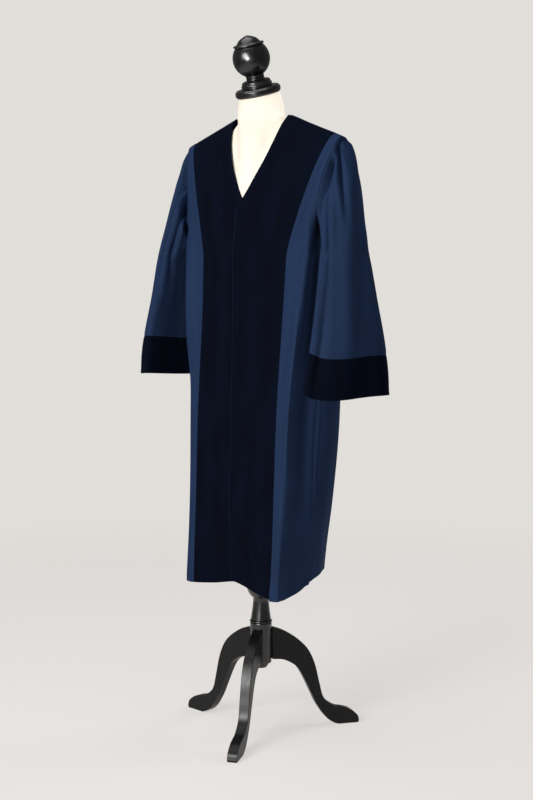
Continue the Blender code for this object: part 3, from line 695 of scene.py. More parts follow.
@dataclass
class Shell:
    """Thin wall of cloth round a grid of points, its edges rounded where they are free.

    Args:
        points: grid of the cloth's middle, rows from the top edge down.
        normals: outward directions at the points.
        tube: whether the last column meets the first.
        half: half the wall's thickness at each point.
        uv: metres across and along the cloth at each point; a tube has one column more.
    """

    points: np.ndarray
    normals: np.ndarray
    half: np.ndarray
    uv: np.ndarray
    tube: bool = False

    def build(self, name: str) -> bpy.types.Object:
        """Make the closed wall, with a map of the cloth in metres.

        Args:
            name: name of the new object.

        Returns:
            The wall, its faces turned out.
        """
        rows, columns = self.points.shape[:2]
        offset = self.half[..., None] * self.normals
        outer = (self.points + offset).reshape(-1, 3)
        inner = (self.points - offset).reshape(-1, 3)
        spans = columns if self.tube else columns - 1
        width = self.uv.shape[1]
        count = rows * columns
        quads = grid_quads(rows, spans, columns)
        maps = grid_quads(rows, spans, width)
        faces = [quads, quads[:, ::-1] + count]
        corners = [maps, maps[:, ::-1]]
        rim = [(row, np.arange(spans), 0, 1) for row in (0, rows - 1)]
        if not self.tube:
            rim += [(np.arange(rows - 1), column, 1, 0) for column in (0, columns - 1)]
        for row, column, down, right in rim:
            a = row * columns + column
            b = (row + down) * columns + (column + right) % columns
            map_a = row * width + column
            map_b = (row + down) * width + column + right
            faces.append(np.stack((a, b, b + count, a + count), -1))
            corners.append(np.stack((map_a, map_b, map_b, map_a), -1))
        faces, corners = np.concatenate(faces), np.concatenate(corners)
        mesh = bpy.data.meshes.new(name)
        mesh.from_pydata(np.concatenate((outer, inner)).tolist(), [], faces.tolist())
        layer = mesh.uv_layers.new(name=CLOTH_UV)
        layer.data.foreach_set("uv", self.uv.reshape(-1, 2)[corners.ravel()].ravel())
        piece = bpy.data.objects.new(name, mesh)
        bpy.context.scene.collection.objects.link(piece)
        Bench.face_out(piece)
        return piece


def rounded(distance: np.ndarray, radius: float) -> np.ndarray:
    """Return the share of a wall's thickness near a free edge, round as a turned edge is."""
    inside = 1.0 - np.clip(distance / radius, 0.0, 1.0)
    return np.maximum(np.sqrt(np.maximum(1.0 - inside**2, 0.0)), THINNEST_EDGE)


class Bench:
    """Bench work on one object through Blender's own operators."""

    @staticmethod
    def pick(piece: bpy.types.Object) -> None:
        """Make one object the only selected and the active one.

        Args:
            piece: the object that the next operators work on.
        """
        if bpy.context.object and bpy.context.object.mode != "OBJECT":
            bpy.ops.object.mode_set(mode="OBJECT")
        bpy.ops.object.select_all(action="DESELECT")
        piece.select_set(True)
        bpy.context.view_layer.objects.active = piece

    @staticmethod
    def face_out(piece: bpy.types.Object, smooth_deg: float = 38.0) -> None:
        """Turn a closed piece's faces outwards and shade it smooth below an angle.

        Args:
            piece: the closed piece.
            smooth_deg: edges that turn more than this stay sharp.
        """
        Bench.pick(piece)
        bpy.ops.object.mode_set(mode="EDIT")
        bpy.ops.mesh.select_all(action="SELECT")
        bpy.ops.mesh.normals_make_consistent(inside=False)
        bpy.ops.object.mode_set(mode="OBJECT")
        bpy.ops.object.shade_smooth_by_angle(angle=math.radians(smooth_deg))

    @staticmethod
    def soften(piece: bpy.types.Object, width: float, segments: int, angle_deg: float) -> None:
        """Round a piece's sharp edges with a bevel that is applied.

        Args:
            piece: the piece.
            width: width of the bevel in metres.
            segments: faces across the bevel.
            angle_deg: edges that turn more than this are rounded.
        """
        Bench.pick(piece)
        bevel = piece.modifiers.new("soft_edges", "BEVEL")
        bevel.width = width
        bevel.segments = segments
        bevel.limit_method = "ANGLE"
        bevel.angle_limit = math.radians(angle_deg)
        bpy.ops.object.modifier_apply(modifier=bevel.name)

    @staticmethod
    def turned(name: str, profile: Sequence[tuple[float, float]], sides: int = 72) -> bpy.types.Object:
        """Turn a piece from a disc that is extruded and resized ring by ring.

        Args:
            name: name of the new object.
            profile: radius and height of each ring, from the foot up.
            sides: corners of each ring.

        Returns:
            The closed piece, standing on the origin's axis.
        """
        bpy.ops.object.select_all(action="DESELECT")
        radius, height = profile[0]
        bpy.ops.mesh.primitive_circle_add(
            vertices=sides, radius=radius, fill_type="NGON", location=(0.0, 0.0, height)
        )
        piece = bpy.context.object
        piece.name = name
        bpy.ops.object.transform_apply(location=True, rotation=True, scale=True)
        bpy.ops.object.mode_set(mode="EDIT")
        bpy.ops.mesh.select_all(action="SELECT")
        for (radius, height), (next_radius, next_height) in zip(profile, profile[1:]):
            bpy.ops.mesh.extrude_region_move(
                TRANSFORM_OT_translate={"value": (0.0, 0.0, next_height - height)}
            )
            grow = next_radius / radius
            bpy.ops.transform.resize(value=(grow, grow, 1.0), center_override=(0.0, 0.0, next_height))
        bpy.ops.object.mode_set(mode="OBJECT")
        return piece

    @staticmethod
    def ease_edges(piece: bpy.types.Object, width: float) -> None:
        """Round a turned piece's edges and shade it smooth along its curves."""
        Bench.face_out(piece)
        Bench.soften(piece, width, segments=3, angle_deg=24.0)
        Bench.face_out(piece, smooth_deg=50.0)

    @staticmethod
    def settle(piece: bpy.types.Object, place: Matrix) -> None:
        """Move a piece and write its place into its mesh.

        Args:
            piece: a piece made at the origin.
            place: its turn and place.
        """
        Bench.pick(piece)
        piece.matrix_world = place
        bpy.ops.object.transform_apply(location=True, rotation=True, scale=True)

    @staticmethod
    def dress(piece: bpy.types.Object, finish: bpy.types.Material, slot: Slot, node: str) -> None:
        """Give a piece its finish, hang it on the body and hide the solid that it stands for.

        Args:
            piece: the finished piece.
            finish: its material.
            slot: not used.
            node: the solid that it stands for.
        """
        piece.data.materials.clear()
        piece.data.materials.append(finish)
        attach(piece, BODY)
        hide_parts(node)
        LOG.info("%s: %d faces", piece.name, len(piece.data.polygons))


# Finishes


class Painter:
    """Builds the nodes of one material."""

    def __init__(self, name: str) -> None:
        """Start a material with its shader.

        Args:
            name: name of the material.
        """
        self.material = bpy.data.materials.new(name)
        self.material.use_nodes = True
        self.tree = self.material.node_tree
        self.shader = self.tree.nodes["Principled BSDF"]
        self.points = self.tree.nodes.new("ShaderNodeTexCoord")

    def node(self, kind: str, inputs: Optional[dict] = None, **settings: object) -> bpy.types.Node:
        """Add a node.

        Args:
            kind: Blender's name of the node's type.
            inputs: values or sockets for its inputs, by name or number.
            **settings: the node's own settings.

        Returns:
            The new node.
        """
        made = self.tree.nodes.new(kind)
        for key, value in settings.items():
            setattr(made, key, value)
        for key, value in (inputs or {}).items():
            self.feed(made.inputs[key], value)
        return made

    def feed(self, socket: bpy.types.NodeSocket, value: Feed) -> None:
        """Link a socket to another one or set its value.

        Args:
            socket: the input.
            value: a socket or a plain value.
        """
        if isinstance(value, bpy.types.NodeSocket):
            self.tree.links.new(value, socket)
        else:
            socket.default_value = value

    def cloth_map(self, scale: Vector = Vector((1.0, 1.0, 1.0))) -> bpy.types.NodeSocket:
        """Return the cloth's own metres, stretched by a scale."""
        uv = self.node("ShaderNodeUVMap", uv_map=CLOTH_UV)
        return self.node("ShaderNodeMapping", {"Vector": uv.outputs[0], "Scale": scale}).outputs[0]

    def object_map(self, scale: Vector = Vector((1.0, 1.0, 1.0))) -> bpy.types.NodeSocket:
        """Return the place in the object, stretched by a scale."""
        place = self.points.outputs["Object"]
        return self.node("ShaderNodeMapping", {"Vector": place, "Scale": scale}).outputs[0]

    def noise(self, where: bpy.types.NodeSocket, scale: float, detail: float = 3.0) -> bpy.types.NodeSocket:
        """Return soft noise between 0 and 1."""
        made = self.node("ShaderNodeTexNoise", {"Vector": where, "Scale": scale, "Detail": detail})
        return made.outputs["Fac"]

    def threads(
        self, where: bpy.types.NodeSocket, pitch: float, across: str, wander: float, detail: float
    ) -> bpy.types.NodeSocket:
        """Return even threads that wander a little.

        Args:
            where: metres on the cloth.
            pitch: metres from one thread to the next.
            across: axis of the cloth that crosses the threads.
            wander: how far the threads wander.
            detail: how finely they wander.

        Returns:
            A value that is 0 between the threads and 1 on them.
        """
        inputs = {"Vector": where, "Scale": WAVE_PERIOD / pitch, "Distortion": wander, "Detail": detail}
        return self.node("ShaderNodeTexWave", inputs, bands_direction=across).outputs["Fac"]

    def spread(
        self, value: Feed, low: float, high: float, out: tuple[float, float] = (0.0, 1.0)
    ) -> bpy.types.NodeSocket:
        """Return a value stretched from one range to another.

        Args:
            value: the value.
            low: start of its range.
            high: end of its range.
            out: the new range.

        Returns:
            The new value, eased at both ends.
        """
        ranged = self.node(
            "ShaderNodeMapRange",
            {"Value": value, "From Min": low, "From Max": high, "To Min": out[0], "To Max": out[1]},
            interpolation_type="SMOOTHSTEP",
        )
        return ranged.outputs["Result"]

    def blend(self, share: Feed, low: Feed, high: Feed) -> bpy.types.NodeSocket:
        """Return a colour between two.

        Args:
            share: 0 for the low colour and 1 for the high one.
            low: the first colour.
            high: the second colour.

        Returns:
            The mixed colour.
        """
        mix = self.node("ShaderNodeMix", data_type="RGBA")
        sockets = {s.identifier: s for s in mix.inputs}
        for key, value in (("Factor_Float", share), ("A_Color", low), ("B_Color", high)):
            self.feed(sockets[key], value)
        return next(s for s in mix.outputs if s.identifier == "Result_Color")

    def sum(self, first: Feed, second: Feed, weight: float = 1.0) -> bpy.types.NodeSocket:
        """Return the first value plus the second times a weight."""
        made = self.node("ShaderNodeMath", {0: second, 1: weight, 2: first}, operation="MULTIPLY_ADD")
        return made.outputs[0]

    def colour(self, share: Feed, deep: Colour, lit: Colour) -> None:
        """Colour the surface between a deep and a lit tone."""
        self.feed(self.shader.inputs["Base Color"], self.blend(share, opaque(deep), opaque(lit)))

    def rough(self, value: Feed) -> None:
        """Set how rough the surface is."""
        self.feed(self.shader.inputs["Roughness"], value)

    def relief(self, height: bpy.types.NodeSocket, depth: float, strength: float = 1.0) -> None:
        """Raise the surface by a height in metres."""
        bump = self.node("ShaderNodeBump", {"Height": height, "Distance": depth, "Strength": strength})
        self.tree.links.new(bump.outputs[0], self.shader.inputs["Normal"])

    def constant(self, **values: object) -> None:
        """Set the shader's own sockets, with _ for a space in their names."""
        for key, value in values.items():
            self.shader.inputs[key.replace("_", " ")].default_value = value


def opaque(colour: Colour) -> tuple[float, float, float, float]:
    """Return a colour with full cover."""
    return (*colour, 1.0)


@dataclass(frozen=True)
class Velvet:
    """Deep navy velvet: a short pile that lies unevenly, with a soft highlight painted along its lap edge.
    """

    deep: Colour = (0.0007, 0.0016, 0.0055)
    lit: Colour = (0.0014, 0.0034, 0.0112)
    tuft: float = 0.0007
    stroke: float = 0.045
    streak: float = 0.0022
    stroke_stretch: Vector = Vector((1.0, 0.28, 1.0))
    streak_stretch: Vector = Vector((1.0, 0.02, 1.0))
    roughness: tuple[float, float] = (0.82, 0.95)
    relief: float = 0.0006
    # Painted highlight: the lighter colour along the lap edge, and the width from the edge over which it
    # fades out
    edge: Colour = (0.0060, 0.0115, 0.0260)
    worn_edge: float = 0.0034

    def material(self) -> bpy.types.Material:
        """Mix the velvet from strokes, tufts and streaks, and paint a highlight along the lap edge.

        Returns:
            The material.
        """
        paint = Painter("velvet_pile")
        cloth = paint.cloth_map()
        strokes = paint.noise(paint.cloth_map(self.stroke_stretch), 1.0 / self.stroke, 4.0)
        tufts = paint.noise(cloth, 1.0 / self.tuft, 2.0)
        streaks = paint.noise(paint.cloth_map(self.streak_stretch), 1.0 / self.streak, 2.0)
        share = paint.spread(strokes, 0.32, 0.70)
        share = paint.sum(share, paint.spread(tufts, 0.3, 0.75, (-0.25, 0.35)))
        share = paint.sum(share, paint.spread(streaks, 0.3, 0.7, (-0.10, 0.10)))
        across = paint.node("ShaderNodeSeparateXYZ", {0: cloth}).outputs[0]
        colour = paint.blend(share, opaque(self.deep), opaque(self.lit))
        # Painted highlight: the lighter edge colour covers the first quarter of that width from the lap
        # edge and is gone by its end
        edge = paint.spread(across, 0.25 * self.worn_edge, self.worn_edge, (1.0, 0.0))
        colour = paint.blend(edge, colour, opaque(self.edge))
        paint.feed(paint.shader.inputs["Base Color"], colour)
        paint.rough(paint.spread(strokes, 0.25, 0.75, self.roughness))
        paint.constant(Specular_IOR_Level=0.03, Sheen_Weight=0.030, Sheen_Roughness=0.35)
        paint.constant(Sheen_Tint=(0.12, 0.26, 0.80, 1.0))
        paint.relief(paint.sum(tufts, strokes, 0.6), self.relief, 0.7)
        return paint.material


@dataclass(frozen=True)
class GownCloth:
    """Navy gown cloth: a fine even weave with slubs, slight sheen and uneven depth of dye."""

    deep: Colour = (0.0092, 0.0214, 0.0585)
    lit: Colour = (0.0140, 0.0318, 0.0850)
    thread: float = 0.0009
    slub: float = 0.012
    slub_stretch: Vector = Vector((1.0, 0.12, 1.0))
    dye_patch: float = 0.16
    grain: float = 0.0011
    roughness: tuple[float, float] = (0.62, 0.80)
    relief: float = 0.00016

    def material(self) -> bpy.types.Material:
        """Mix the gown cloth from weave, slubs and dye.

        Returns:
            The material.
        """
        paint = Painter("gown_cloth")
        cloth = paint.cloth_map()
        warp = paint.threads(cloth, self.thread, "X", 0.8, 1.0)
        weft = paint.threads(cloth, self.thread, "Y", 0.8, 1.0)
        slubs = paint.noise(paint.cloth_map(self.slub_stretch), 1.0 / self.slub, 5.0)
        dye = paint.noise(cloth, 1.0 / self.dye_patch, 3.0)
        grain = paint.noise(cloth, 1.0 / self.grain, 2.0)
        share = paint.spread(dye, 0.30, 0.70, (0.32, 0.68))
        share = paint.sum(share, paint.spread(slubs, 0.3, 0.7, (-0.18, 0.18)))
        share = paint.sum(share, paint.spread(grain, 0.3, 0.7, (-0.22, 0.22)))
        weave = paint.sum(warp, weft)
        share = paint.sum(share, paint.spread(weave, 0.4, 1.6, (-0.12, 0.12)))
        paint.colour(share, self.deep, self.lit)
        paint.rough(paint.spread(grain, 0.2, 0.8, self.roughness))
        paint.constant(Specular_IOR_Level=0.05, Sheen_Weight=0.02, Sheen_Roughness=0.35)
        paint.constant(Sheen_Tint=(0.35, 0.52, 1.0, 1.0))
        paint.relief(paint.sum(paint.sum(weave, slubs, 1.5), grain, 0.8), self.relief, 0.55)
        return paint.material


@dataclass(frozen=True)
class FormJersey:
    """Ivory jersey stretched over the form: fine knitted ribs and a faint unevenness."""

    deep: Colour = (0.85, 0.77, 0.65)
    lit: Colour = (0.95, 0.885, 0.78)
    rib: float = 0.0011
    loop: float = 0.0014
    dye_patch: float = 0.11
    roughness: tuple[float, float] = (0.72, 0.88)
    relief: float = 0.00018

    def material(self) -> bpy.types.Material:
        """Mix the jersey from ribs, loops and dye.

        Returns:
            The material.
        """
        paint = Painter("ivory_jersey")
        cloth = paint.cloth_map()
        ribs = paint.threads(cloth, self.rib, "X", 1.2, 1.5)
        loops = paint.noise(cloth, 1.0 / self.loop, 2.0)
        dye = paint.noise(paint.object_map(), 1.0 / self.dye_patch, 3.0)
        share = paint.spread(dye, 0.3, 0.7, (0.45, 1.0))
        share = paint.sum(share, paint.spread(ribs, 0.1, 0.9, (-0.16, 0.10)))
        share = paint.sum(share, paint.spread(loops, 0.3, 0.7, (-0.14, 0.10)))
        paint.colour(share, self.deep, self.lit)
        paint.rough(paint.spread(loops, 0.2, 0.8, self.roughness))
        paint.constant(Specular_IOR_Level=0.20, Sheen_Weight=0.15, Sheen_Roughness=0.5)
        paint.relief(paint.sum(ribs, loops, 0.8), self.relief, 0.5)
        return paint.material


@dataclass(frozen=True)
class Lacquer:
    """Black lacquer on wood: satin, with the grain showing faintly through and soft wear."""

    deep: Colour = (0.0026, 0.0027, 0.0031)
    lit: Colour = (0.0062, 0.0064, 0.0072)
    grain: float = 0.006
    grain_stretch: Vector = Vector((1.0, 1.0, 0.07))
    pore: float = 0.0012
    flow: float = 0.018
    coat: float = 0.4
    relief: float = 0.00020
    gloss: tuple[float, float] = (0.22, 0.27)
    shine: float = 0.55
    name: str = "black_lacquer"

    def material(self) -> bpy.types.Material:
        """Mix the lacquer from grain, pores and flow.

        Returns:
            The material.
        """
        paint = Painter(self.name)
        grain = paint.noise(paint.object_map(self.grain_stretch), 1.0 / self.grain, 5.0)
        pores = paint.noise(paint.object_map(self.grain_stretch), 1.0 / self.pore, 3.0)
        flow = paint.noise(paint.object_map(), 1.0 / self.flow, 2.0)
        share = paint.sum(paint.spread(grain, 0.35, 0.68), paint.spread(pores, 0.3, 0.7, (-0.2, 0.2)))
        paint.colour(share, self.deep, self.lit)
        rough = paint.spread(grain, 0.3, 0.7, self.gloss)
        paint.rough(paint.sum(rough, paint.spread(flow, 0.3, 0.7, (-0.02, 0.03))))
        paint.constant(Specular_IOR_Level=self.shine, Coat_Weight=self.coat * self.shine)
        paint.constant(Coat_Roughness=self.gloss[0])
        paint.relief(paint.sum(paint.sum(flow, grain, 0.3), pores, 0.05), self.relief, 0.10)
        return paint.material


SATIN_LACQUER = Lacquer(gloss=(0.34, 0.40), shine=0.17, name="satin_lacquer")


@dataclass(frozen=True)
class StudioPaper:
    """Pale studio floor that fades out into the pale surroundings."""

    tone: Colour = (0.27, 0.263, 0.26)
    glow: Colour = (1.0, 0.960, 0.930)
    glow_strength: float = 0.55
    clear_from: float = 1.2
    clear_at: float = 3.2

    def material(self) -> bpy.types.Material:
        """Mix the paper, clear from a distance outwards.

        Returns:
            The material.
        """
        paint = Painter("studio_floor")
        paint.constant(Base_Color=opaque(self.tone), Roughness=0.9, Specular_IOR_Level=0.1)
        paint.constant(Emission_Color=opaque(self.glow), Emission_Strength=self.glow_strength)
        reach = paint.node("ShaderNodeVectorMath", {0: paint.points.outputs["Object"]}, operation="LENGTH")
        share = paint.spread(reach.outputs["Value"], self.clear_from, self.clear_at)
        clear = paint.node("ShaderNodeBsdfTransparent")
        mix = paint.node("ShaderNodeMixShader", {0: share, 1: paint.shader.outputs[0], 2: clear.outputs[0]})
        paint.tree.links.new(mix.outputs[0], paint.tree.nodes["Material Output"].inputs["Surface"])
        return paint.material


@dataclass
class Finishes:
    """The materials, each made once."""

    velvet: bpy.types.Material = field(default_factory=lambda: Velvet().material())
    cloth: bpy.types.Material = field(default_factory=lambda: GownCloth().material())
    ivory: bpy.types.Material = field(default_factory=lambda: FormJersey().material())
    lacquer: bpy.types.Material = field(default_factory=lambda: Lacquer().material())
    satin: bpy.types.Material = field(default_factory=lambda: SATIN_LACQUER.material())


# The robe


class Marks(NamedTuple):
    """Columns of a half at its seams."""

    band: int
    front: int
    tip: int
    neck_front: int
    ridge_back: int
    neck_back: int


class Half(NamedTuple):
    """Laid out cloth of one half of the body, before it is cut at its seams."""

    points: np.ndarray
    normals: np.ndarray
    uv: np.ndarray
    marks: Marks


@dataclass
class RobeBody:
    """The robe's velvet front bands, side fronts and back, without the sleeves."""

    drape: Drape
    finishes: Finishes
    wall: float = 0.0020
    seam_gap: float = 0.0003
    lap_places: tuple[float, ...] = (-0.1, -0.0982, -0.0945, -0.088, -0.078, -0.062, -0.042, -0.021)
    v_steps: int = 20
    band_steps: int = 18
    strap_steps: int = 12
    armhole_steps: int = 28
    ridge_steps: int = 14
    neck_steps: int = 10
    upper_rows: int = 30
    lower_rows: int = 74
    hem_edge: tuple[float, ...] = (0.990, 0.995, 0.9975, 0.9990, 0.9997, 1.0)
    map_at_chest: float = 0.35
    wave_grow: float = 0.25
    calm_at_top: float = 0.25
    calm_at_back: float = 0.35
    right_shift: float = 3.0
    velvet_blend: float = 0.2
    seam_dip: float = 0.0007
    seam_width: float = 0.0022
    velvet_roll: float = 0.0009
    cloth_roll: float = 0.0003
    roll_width: float = 0.003
    velvet_wave: Ripple = Ripple(11, (0.030, 0.085), (0.60, 1.60), 0.00042)
    cloth_wave: Ripple = Ripple(23, (0.045, 0.110), (0.45, 1.30), 0.00100)

    def armhole_shares(self) -> np.ndarray:
        """Return the armhole lines' shares, from the shoulder down."""
        return 1.0 - np.sin(0.5 * math.pi * np.arange(self.armhole_steps + 1) / self.armhole_steps)

    def row_shares(self) -> tuple[np.ndarray, np.ndarray]:
        """Space the rows, closest at the top edge and the hem.

        Returns:
            Shares of the rows above the chest, top first, and of those from the chest to the hem.
        """
        upper = np.cos(0.5 * math.pi * np.arange(self.upper_rows) / self.upper_rows)
        lower = np.linspace(0.0, self.hem_edge[0], self.lower_rows + 1)[:-1]
        return upper, np.concatenate((lower, self.hem_edge))

    def half(self, side: Side) -> Half:
        """Lay out one half of the body.

        Args:
            side: half of the wearer.

        Returns:
            Its grids and the columns at its seams.
        """
        drape = self.drape
        shares = self.armhole_shares()
        band = drape.band_columns(self.lap_places, self.v_steps, self.band_steps)
        strap = drape.strap_columns(self.strap_steps)
        front = Columns.join((band, strap, drape.armhole_columns(shares, True)))
        armhole = drape.armhole_columns(shares[::-1], False).part(slice(1, None))
        back = Columns.join((armhole, drape.back_columns(self.ridge_steps, self.neck_steps)))
        lines = Columns.join((front, back))
        upper, lower = self.row_shares()
        tops = (drape.upper(front, upper, side, True), drape.upper(back, upper, side, False))
        low, low_place = drape.lower(lines, lower, side)
        points = np.concatenate((np.concatenate(tops, axis=1), low))
        upper_place = np.broadcast_to(lines.chest_place, (len(upper), len(lines)))
        place = np.concatenate((upper_place, low_place))
        across = run_length(points, 1)[len(upper)]
        along = run_length(points, 0)
        along = along - along[len(upper)] + self.map_at_chest
        normals = side.value * grid_normals(points)
        points = points + self.relief(points, place, across, along, side)[..., None] * normals
        normals = side.value * grid_normals(points)
        ridge_back = len(front) + self.armhole_steps - 1
        marks = Marks(
            band=len(band),
            front=len(front),
            tip=len(band) + len(strap),
            neck_front=len(self.lap_places) + self.v_steps,
            ridge_back=ridge_back,
            neck_back=ridge_back + self.ridge_steps,
        )
        self.share_normals(points, normals, marks, side)
        uv = np.stack(np.broadcast_arrays(across[None, :], along), -1)
        return Half(points, normals, uv, marks)

    def relief(
        self, points: np.ndarray, place: np.ndarray, across: np.ndarray, along: np.ndarray, side: Side
    ) -> np.ndarray:
        """Return how far folds, creases, waves and seams move the cloth out.

        Args:
            points: grid of one half.
            place: places round the half girth.
            across: metres across the cloth, one a column.
            along: metres along the cloth.
            side: half of the wearer.

        Returns:
            The move in metres.
        """
        drape = self.drape
        z = points[..., 2]
        total = drape.fold_depth(place, z, side) + drape.crease_depth(place, z, side)
        low = ease((drape.neck_z - z) / self.wave_grow)
        calm = self.calm_at_top + (1.0 - self.calm_at_top) * low
        calm = calm * ease((drape.centre_back - place) / self.calm_at_back)
        shift = self.right_shift if side is Side.RIGHT else 0.0
        velvet = self.velvet_wave.height(across + shift, along)
        cloth = self.cloth_wave.height(across + shift, along)
        in_band = ease((drape.band_seam + 0.5 * self.velvet_blend - place) / self.velvet_blend)
        total = total + calm * (velvet * in_band + cloth * (1.0 - in_band))
        seam = np.abs(across - across[place[-1] >= drape.band_seam - 1e-6][0])
        return total - self.seam_dip * bell(seam, self.seam_width)

    def share_normals(self, points: np.ndarray, normals: np.ndarray, marks: Marks, side: Side) -> None:
        """Set the directions that neighbouring pieces share at ridge, armhole and centre back.

        Args:
            points: grid of one half.
            normals: its directions, which are changed.
            marks: columns at the seams.
            side: half of the wearer.
        """
        drape = self.drape
        ridge = unit(np.array((drape.neck_z - drape.shoulder_z, 0.0, drape.shoulder_x - drape.neck_x)))
        ridge = ridge * (side.value, 1.0, 1.0)
        normals[0, marks.neck_front : marks.tip] = ridge
        normals[0, marks.ridge_back + 1 : marks.neck_back + 1] = ridge
        arm = slice(marks.tip, marks.ridge_back + 1)
        normals[0, arm] = drape.armhole_normal(points[0, arm], side)
        normals[:, -1, 0] = 0.0
        normals[:, -1] = unit(normals[:, -1])

    def walls(self, points: np.ndarray, free_top: np.ndarray, free_left: bool, roll: float) -> np.ndarray:
        """Return half the wall's thickness, rounded at free edges.

        Args:
            points: grid of the piece.
            free_top: for each column, whether its top edge is free.
            free_left: whether the first column is a free edge.
            roll: how much thicker the turned edge is.

        Returns:
            Half the thickness at each point.
        """
        half = 0.5 * self.wall
        down = run_length(points, 0)
        up = down[-1] - down
        share = rounded(up, half)
        wide = self.roll_width
        extra = roll * bell(up - wide, wide)
        share = share * np.where(free_top, rounded(down, half), 1.0)
        extra = extra + roll * np.where(free_top, bell(down - wide, wide), 0.0)
        if free_left:
            side = run_length(points, 1)
            share = share * rounded(side, half)
            extra = extra + roll * bell(side - wide, wide)
        return (half + extra) * share

    def trim(self, points: np.ndarray, left: bool, right: bool) -> np.ndarray:
        """Return a grid whose seam edges are drawn in by half the seam's gap.

        Args:
            points: grid of the piece.
            left: whether the first column is a seam.
            right: whether the last column is one.

        Returns:
            The narrower grid.
        """
        cut = points.copy()
        gap = self.seam_gap / 2
        if left:
            cut[:, 0] += gap * unit(points[:, 1] - points[:, 0])
        if right:
            cut[:, -1] += gap * unit(points[:, -2] - points[:, -1])
        return cut

    def lower_ridge(self, points: np.ndarray, which: slice) -> None:
        """Draw the top edge in at the shoulder seam."""
        points[0, which] += self.seam_gap / 2 * unit(points[1, which] - points[0, which])

    def build(self) -> None:
        halves = {side: self.half(side) for side in Side}
        for side, half in halves.items():
            self.build_band(side, half)
            self.build_side_front(side, half)
        self.build_back(halves)

    def build_band(self, side: Side, half: Half) -> None:
        """Build one velvet front band.

        Args:
            side: half of the wearer.
            half: the half's grids and marks.
        """
        marks = half.marks
        cut = slice(0, marks.band)
        points = self.trim(half.points[:, cut], False, True)
        self.lower_ridge(points, slice(marks.neck_front, None))
        free = np.arange(marks.band) <= marks.neck_front
        walls = self.walls(points, free, True, self.velvet_roll)
        name = f"front_band_{side.label}"
        piece = Shell(points, half.normals[:, cut], walls, half.uv[:, cut]).build(name + "_velvet")
        Bench.dress(piece, self.finishes.velvet, Slot.VELVET, name)

    def build_side_front(self, side: Side, half: Half) -> None:
        """Build one side front of navy cloth.

        Args:
            side: half of the wearer.
            half: the half's grids and marks.
        """
        marks = half.marks
        cut = slice(marks.band - 1, marks.front)
        points = self.trim(half.points[:, cut], True, True)
        self.lower_ridge(points, slice(0, self.strap_steps + 1))
        free = np.zeros(points.shape[1], bool)
        walls = self.walls(points, free, False, self.cloth_roll)
        name = f"side_front_{side.label}"
        piece = Shell(points, half.normals[:, cut], walls, half.uv[:, cut]).build(name + "_cloth")
        Bench.dress(piece, self.finishes.cloth, Slot.CLOTH, name)

    def build_back(self, halves: dict[Side, Half]) -> None:
        """Build the back in one piece from both halves.

        Args:
            halves: each half's grids and marks.
        """
        left, right = halves[Side.LEFT], halves[Side.RIGHT]
        keep = slice(left.marks.front - 1, None)

        def both(name: str) -> np.ndarray:
            """Return a grid of the back from its right side seam to its left one."""
            first, second = getattr(right, name), getattr(left, name)
            return np.concatenate((first[:, keep], second[:, keep][:, -2::-1]), axis=1)

        points, normals = both("points"), both("normals")
        width = points.shape[1]
        across = run_length(points, 1)[len(self.row_shares()[0])]
        uv = np.stack(np.broadcast_arrays(across[None, :], both("uv")[..., 1]), -1)
        points = self.trim(points, True, True)
        self.lower_ridge(points, slice(self.armhole_steps, width - self.armhole_steps))
        from_side = np.minimum(np.arange(width), width - 1 - np.arange(width))
        free = from_side >= self.armhole_steps + self.ridge_steps
        walls = self.walls(points, free, False, self.cloth_roll)
        piece = Shell(points, normals, walls, uv).build("back_cloth")
        Bench.dress(piece, self.finishes.cloth, Slot.CLOTH, "back")


